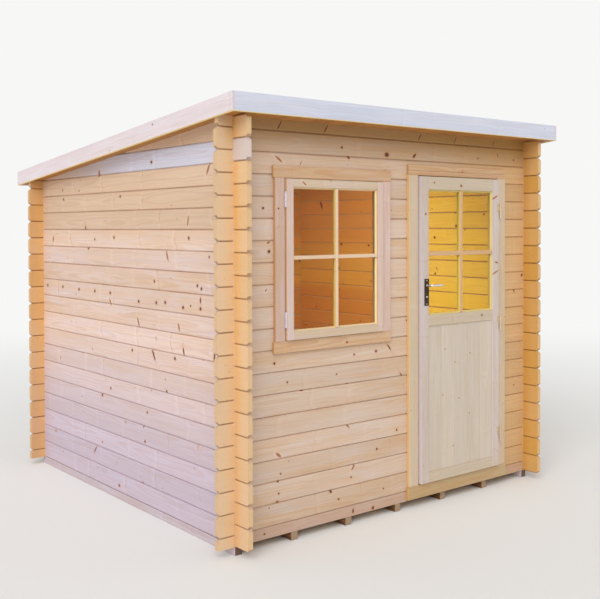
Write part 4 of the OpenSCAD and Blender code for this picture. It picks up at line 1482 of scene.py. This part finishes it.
@dataclass
class Door:
    """Surround, leaf, bars, boarded panel and hinges of the door.

    Attributes:
        frame: what the frame holds, by name.
        trim_w: width of the trim boards.
        lip: height of the lower part of the board over the door.
        stile_w: width of the leaf's stiles.
        top_rail: height of the top rail.
        mid_rail: height of the middle rail.
        bottom_rail: height of the bottom rail.
        boards: number of boards in the lower panel.
        bar_w: width of a glazing bar.
        bead_w: width of a bead.
        hinge_h: height of a hinge.
    """

    frame: dict[str, Any]
    trim_w: float = 0.075
    lip: float = 0.028
    stile_w: float = 0.064
    top_rail: float = 0.076
    mid_rail: float = 0.064
    bottom_rail: float = 0.062
    boards: int = 5
    bar_w: float = 0.026
    bead_w: float = 0.010
    hinge_h: float = 0.044

    def build(self) -> None:
        """Builds the fixed surround, then what moves."""
        self.surround()
        self.leaf()
        self.ironwork()

    def surround(self) -> None:
        """Jambs, head, threshold and trim boards."""
        trim, head = DOOR_TRIM.make(), HEAD_TRIM.make()
        posts = uprights(*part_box("door_trim_uprights"), self.trim_w, 740)
        put(gather(posts), "door_trim_posts", "cabin", trim, ["door_trim_uprights"])
        low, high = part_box("door_trim_head")
        lip = low.z + self.lip
        board = [bar((low.x, low.y, low.z), (high.x, high.y, lip), Along.X, 744),
                 bar((low.x, low.y, lip + 0.0005), (high.x, high.y, high.z), Along.X, 745)]
        put(gather(board), "door_trim_board", "cabin", head, ["door_trim_head"])
        low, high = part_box("door_jambs")
        h_low, h_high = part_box("door_head")
        jambs = [bar((low.x, low.y, low.z), (h_low.x, high.y, high.z), Along.Z, 746),
                 bar((h_high.x, low.y, low.z), (high.x, high.y, high.z), Along.Z, 747),
                 bar(h_low, h_high, Along.X, 748)]
        put(gather(jambs), "door_lining", "cabin", trim, ["door_jambs", "door_head"])
        low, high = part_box("threshold")
        wall = -HALF_D
        sill = [bar((low.x, low.y, low.z), (high.x, wall, high.z - 0.018), Along.X, 750, 0.003),
                bar((h_low.x, wall - 0.0005, low.z), (h_high.x, high.y, high.z), Along.X, 751)]
        put(gather(sill), "door_sill", "cabin", SILL.make(), ["threshold"])
        low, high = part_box("door_inner_trim")
        made = [bar((low.x, low.y, low.z), (h_low.x, high.y, high.z), Along.Z, 752),
                bar((h_high.x, low.y, low.z), (high.x, high.y, high.z), Along.Z, 753),
                bar((h_low.x, low.y, h_low.z), (h_high.x, high.y, high.z), Along.X, 754)]
        put(gather(made), "door_inner_boards", "cabin", trim, ["door_inner_trim"])

    def leaf(self) -> None:
        """Stiles, rails, bars and the boards of the lower panel."""
        wood = LEAF.make()
        low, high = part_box("door_stiles")
        stiles = uprights(low, high, self.stile_w, 760, 0.0025)
        put(gather(stiles), "leaf_stiles", "door", wood, ["door_stiles"])
        g_low, g_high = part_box("door_glass")
        r_low, r_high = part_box("door_rails")
        heights = ((low.z, low.z + self.bottom_rail), (g_low.z - self.mid_rail, g_low.z),
                   (high.z - self.top_rail, high.z))
        rails = [bar((r_low.x, r_low.y, foot), (r_high.x, r_high.y, top), Along.X, 764 + i)
                 for i, (foot, top) in enumerate(heights)]
        put(gather(rails), "leaf_rails", "door", LEAF_RAIL.make(), ["door_rails"])
        low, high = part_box("door_panel")
        edges = np.linspace(low.x, high.x, self.boards + 1)
        boards = [bar((a, low.y, low.z), (b - 0.0004, high.y, high.z), Along.Z, 770 + i, 0.0018)
                  for i, (a, b) in enumerate(zip(edges[:-1], edges[1:]))]
        put(gather(boards), "panel_boards", "door", PANEL.make(), ["door_panel"])
        bars = Bars(g_low.x, g_high.x, g_low.z, g_high.z, r_low.y + 0.003, r_low.y + 0.007, g_low.y,
                    g_high.y - g_low.y, r_high.y - 0.003, self.bar_w, self.bead_w, CROSS_Z,
                    (g_low.x + g_high.x) / 2)
        put(bars.bars(780), "door_bars", "door", DOOR_BAR.make())
        put(bars.beads(786), "door_beads", "door", DOOR_BEAD.make())
        repaint(self.frame, ["door_glass"], PANE.make())

    def ironwork(self) -> None:
        """Hinges with their screws."""
        zinc = BRASSED.make()
        repaint(self.frame, ["hinge_pins", "hinge_leaves"], zinc)
        low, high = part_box("hinge_leaves")
        heads = []
        for z0 in (low.z, (low.z + high.z - self.hinge_h) / 2, high.z - self.hinge_h):
            for dz in (0.008, 0.022, 0.036):
                heads.append(screw_head((low.x + 0.006, high.y - 0.0025, z0 + dz), 0.0030))
        put(gather(heads), "leaf_hinge_screws", "door", zinc, smooth=True)


@dataclass
class LockSet:
    """Long plates and the lever.

    Attributes:
        spindle_x: the spindle's place across the wall.
        spindle_z: its height.
        plate_w: width of the inner plate.
        leaf_front: y of the leaf's outer face.
        leaf_back: y of its inner face.
        stand_off: how far the outer lever stands off the leaf.
        stand_in: the same for the inner one.
        reach: length of a lever from the spindle.
    """

    spindle_x: float = 1.347 - HALF_W
    spindle_z: float = 1.309
    plate_w: float = 0.034
    leaf_front: float = -HALF_D - 0.039
    leaf_back: float = -HALF_D - 0.005
    stand_off: float = 0.044
    stand_in: float = 0.040
    reach: float = 0.098

    def build(self) -> None:
        """Plates with softened edges, screws, the keyhole's ring and the lever."""
        bronze = BRONZE.make()
        low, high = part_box("lock_plates")
        plates = [bar((low.x, low.y, low.z), (high.x, self.leaf_front, high.z), Along.Z, 0, 0.0012),
                  bar((high.x - self.plate_w, self.leaf_back, low.z), (high.x, high.y, high.z), Along.Z, 1,
                      0.0012)]
        put(gather(plates), "lever_plates", "door", bronze, ["lock_plates"])
        centre = (low.x + high.x) / 2
        heads = [screw_head((centre, low.y, z), 0.0035) for z in (low.z + 0.010, high.z - 0.010)]
        ring = turned([(0.0, 0.0055), (-0.0008, 0.0060), (-0.0012, 0.0050), (-0.0006, 0.0030)],
                      (centre, low.y, low.z + 0.052), Along.Y, 20)
        polished = POLISHED.make()
        put(gather([*heads, ring]), "lever_plate_screws", "door", polished, smooth=True)
        arms = [self.arm(self.leaf_front - 0.0035, -1.0, self.stand_off),
                self.arm(self.leaf_back + 0.0035, 1.0, self.stand_in)]
        rod = turned([(self.leaf_front - 0.01, 0.0045), (self.leaf_back + 0.01, 0.0045)],
                     (self.spindle_x, 0.0, self.spindle_z), Along.Y, 12)
        put(gather([*arms, rod]), "lever_handle", "lever", polished, ["door_lever"],
            smooth=True)

    def arm(self, y0: float, way: float, off: float) -> Shape:
        """One lever: out from the plate, round a bend and along to a rounded tip.

        The path is a straight neck, a quarter circle and a straight grip; its radius swells in the
        grip and closes at both ends.
        """
        bend = 0.016
        neck = np.linspace(0, off - bend, 6)
        turn = np.linspace(0, np.pi / 2, 12)[1:]
        grip = np.linspace(0, self.reach - bend, 22)[1:]
        out = np.concatenate([neck, off - bend + bend * np.sin(turn), np.full(len(grip), off)])
        side = np.concatenate([np.zeros(len(neck)), bend * (1 - np.cos(turn)), bend + grip])
        path = np.stack([self.spindle_x + side, y0 + way * out * (off - 0.0035) / off,
                         np.full(len(side), self.spindle_z)], axis=-1)
        share = np.linspace(0, 1, len(side))
        radii = 0.0072 + 0.0012 * np.sin(np.pi * np.clip((share - 0.4) / 0.6, 0, 1))
        radii[:2] = 0.0115, 0.0095
        radii[-4:] *= np.array([0.97, 0.88, 0.66, 0.22])
        return drawn(path, radii, np.full(len(side), 1.0))


# ---------------------------------------------------------------------------------------------------
# Studio
# ---------------------------------------------------------------------------------------------------


@dataclass
class Studio:
    """Floor, lights and camera.

    Attributes:
        spot: where the camera stands.
        heading: its turn from +Y towards +X, in degrees.
        pitch: its tilt, downwards below 0.
        roll: its roll.
        focal: focal length for a 36 mm wide picture.
        rise: vertical shift of the picture.
        sky: level of the soft light from all round.
        sun: strength of the soft main light.
    """

    spot: Point = (-3.75036, -4.95499, 1.6553)
    heading: float = 38.6209
    pitch: float = -1.13805
    roll: float = -0.17047
    focal: float = 54.739
    rise: float = -0.0908
    sky: float = 0.62
    sun: float = 1.9

    def build(self) -> None:
        """Sets up the whole studio."""
        self.floor()
        self.lights()
        self.camera()

    def floor(self) -> None:
        """A wide pale floor that keeps the shadow."""
        sheet = Sheet("studio_floor")
        x, y, z = sheet.place()
        tone = sheet.noise(sheet.join(x, y, z), 0.7, 2.0)
        far = (x * x + y * y).root().ease(3.0, 10.0)
        near = sheet.mix(tone, (0.80, 0.80, 0.79), (0.82, 0.82, 0.81))
        material = sheet.finish(sheet.mix(far, near, (0.0, 0.0, 0.0)), 0.9, fixed={
            "Emission Color": sheet.mix(far, (0.0, 0.0, 0.0), (0.93, 0.93, 0.925)),
            "Emission Strength": 1.0, "Specular IOR Level": 0.0})
        size = 60.0
        corners = np.array([[-size, -size, 0], [size, -size, 0], [size, size, 0], [-size, size, 0]], float)
        mesh = bpy.data.meshes.new("floor")
        mesh.from_pydata((corners - np.array([0, 0, 0.0005])).tolist(), [], [[0, 1, 2, 3]])
        mesh.materials.append(material)
        made = bpy.data.objects.new("floor", mesh)
        bpy.context.scene.collection.objects.link(made)

    def lamp(self, name: str, kind: str, place: Point, target: Point, **values: Any) -> None:
        """Adds a lamp at a place, aimed at a target."""
        data = bpy.data.lights.new(name, kind)
        for key, value in values.items():
            setattr(data, key, value)
        made = bpy.data.objects.new(name, data)
        ahead = (np.array(target) - np.array(place)) / np.linalg.norm(np.array(target) - np.array(place))
        side = np.cross(ahead, (0.0, 0.0, 1.0)) + np.array([1e-6, 0, 0])
        side /= np.linalg.norm(side)
        up = np.cross(side, ahead)
        turn = np.eye(4)
        turn[:3, 0], turn[:3, 1], turn[:3, 2], turn[:3, 3] = side, up, -ahead, place
        made.matrix_world = Matrix(turn.tolist())
        bpy.context.scene.collection.objects.link(made)

    def lights(self) -> None:
        """Soft light from all round, a broad main light and a small warm one indoors."""
        world = bpy.data.worlds.new("studio_world")
        world.use_nodes = True
        tree = world.node_tree
        tree.nodes.clear()
        out = tree.nodes.new("ShaderNodeOutputWorld")
        seen, cast = tree.nodes.new("ShaderNodeBackground"), tree.nodes.new("ShaderNodeBackground")
        seen.inputs[0].default_value = (0.93, 0.93, 0.925, 1)
        seen.inputs[1].default_value = 1.0
        cast.inputs[0].default_value = (1.0, 0.995, 0.985, 1)
        cast.inputs[1].default_value = self.sky
        path, mix = tree.nodes.new("ShaderNodeLightPath"), tree.nodes.new("ShaderNodeMixShader")
        share: bpy.types.NodeSocket = path.outputs["Is Camera Ray"]
        for kind in ("Is Glossy Ray", "Is Transmission Ray"):
            either = tree.nodes.new("ShaderNodeMath")
            either.operation = "MAXIMUM"
            tree.links.new(share, either.inputs[0])
            tree.links.new(path.outputs[kind], either.inputs[1])
            share = either.outputs[0]
        tree.links.new(share, mix.inputs[0])
        tree.links.new(cast.outputs[0], mix.inputs[1])
        tree.links.new(seen.outputs[0], mix.inputs[2])
        tree.links.new(mix.outputs[0], out.inputs[0])
        bpy.context.scene.world = world
        self.lamp("main_light", "SUN", (-5.0, -4.6, 6.0), (0.0, 0.0, 1.0), energy=self.sun,
                  angle=math.radians(50))
        self.lamp("indoor_light", "AREA", (-0.25, -0.30, 1.85), (0.35, 0.2, 0.9), energy=30.0,
                  shape="DISK", size=0.7, color=(1.0, 0.84, 0.58))

    def camera(self) -> None:
        """The camera's axes are worked out from its heading, pitch and roll."""
        data = bpy.data.cameras.new("camera")
        data.lens = self.focal
        data.sensor_width = 36.0
        data.sensor_fit = "HORIZONTAL"
        data.shift_y = self.rise
        data.clip_end = 200.0
        made = bpy.data.objects.new("camera", data)
        turn, tilt, roll = (math.radians(a) for a in (self.heading, self.pitch, self.roll))
        ahead = np.array([math.sin(turn) * math.cos(tilt), math.cos(turn) * math.cos(tilt), math.sin(tilt)])
        level = np.array([math.cos(turn), -math.sin(turn), 0.0])
        upright = np.cross(level, ahead)
        side = level * math.cos(roll) + upright * math.sin(roll)
        up = upright * math.cos(roll) - level * math.sin(roll)
        axes = np.eye(4)
        axes[:3, 0], axes[:3, 1], axes[:3, 2], axes[:3, 3] = side, up, -ahead, self.spot
        made.matrix_world = Matrix(axes.tolist())
        bpy.context.scene.collection.objects.link(made)
        bpy.context.scene.camera = made


def main() -> None:
    """Builds the cabin's looks in order."""
    logging.basicConfig(level=logging.INFO, format="%(name)s: %(message)s", force=True)
    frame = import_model()
    bpy.context.scene.view_settings.view_transform = "Standard"
    Studio().build()
    LogWalls(frame).dress()
    Base().build()
    Roof().build()
    Window(frame).build()
    Door(frame).build()
    LockSet().build()
    repaint(frame, ["purlins"], PURLIN.make())


if __name__ == "__main__":
    main()
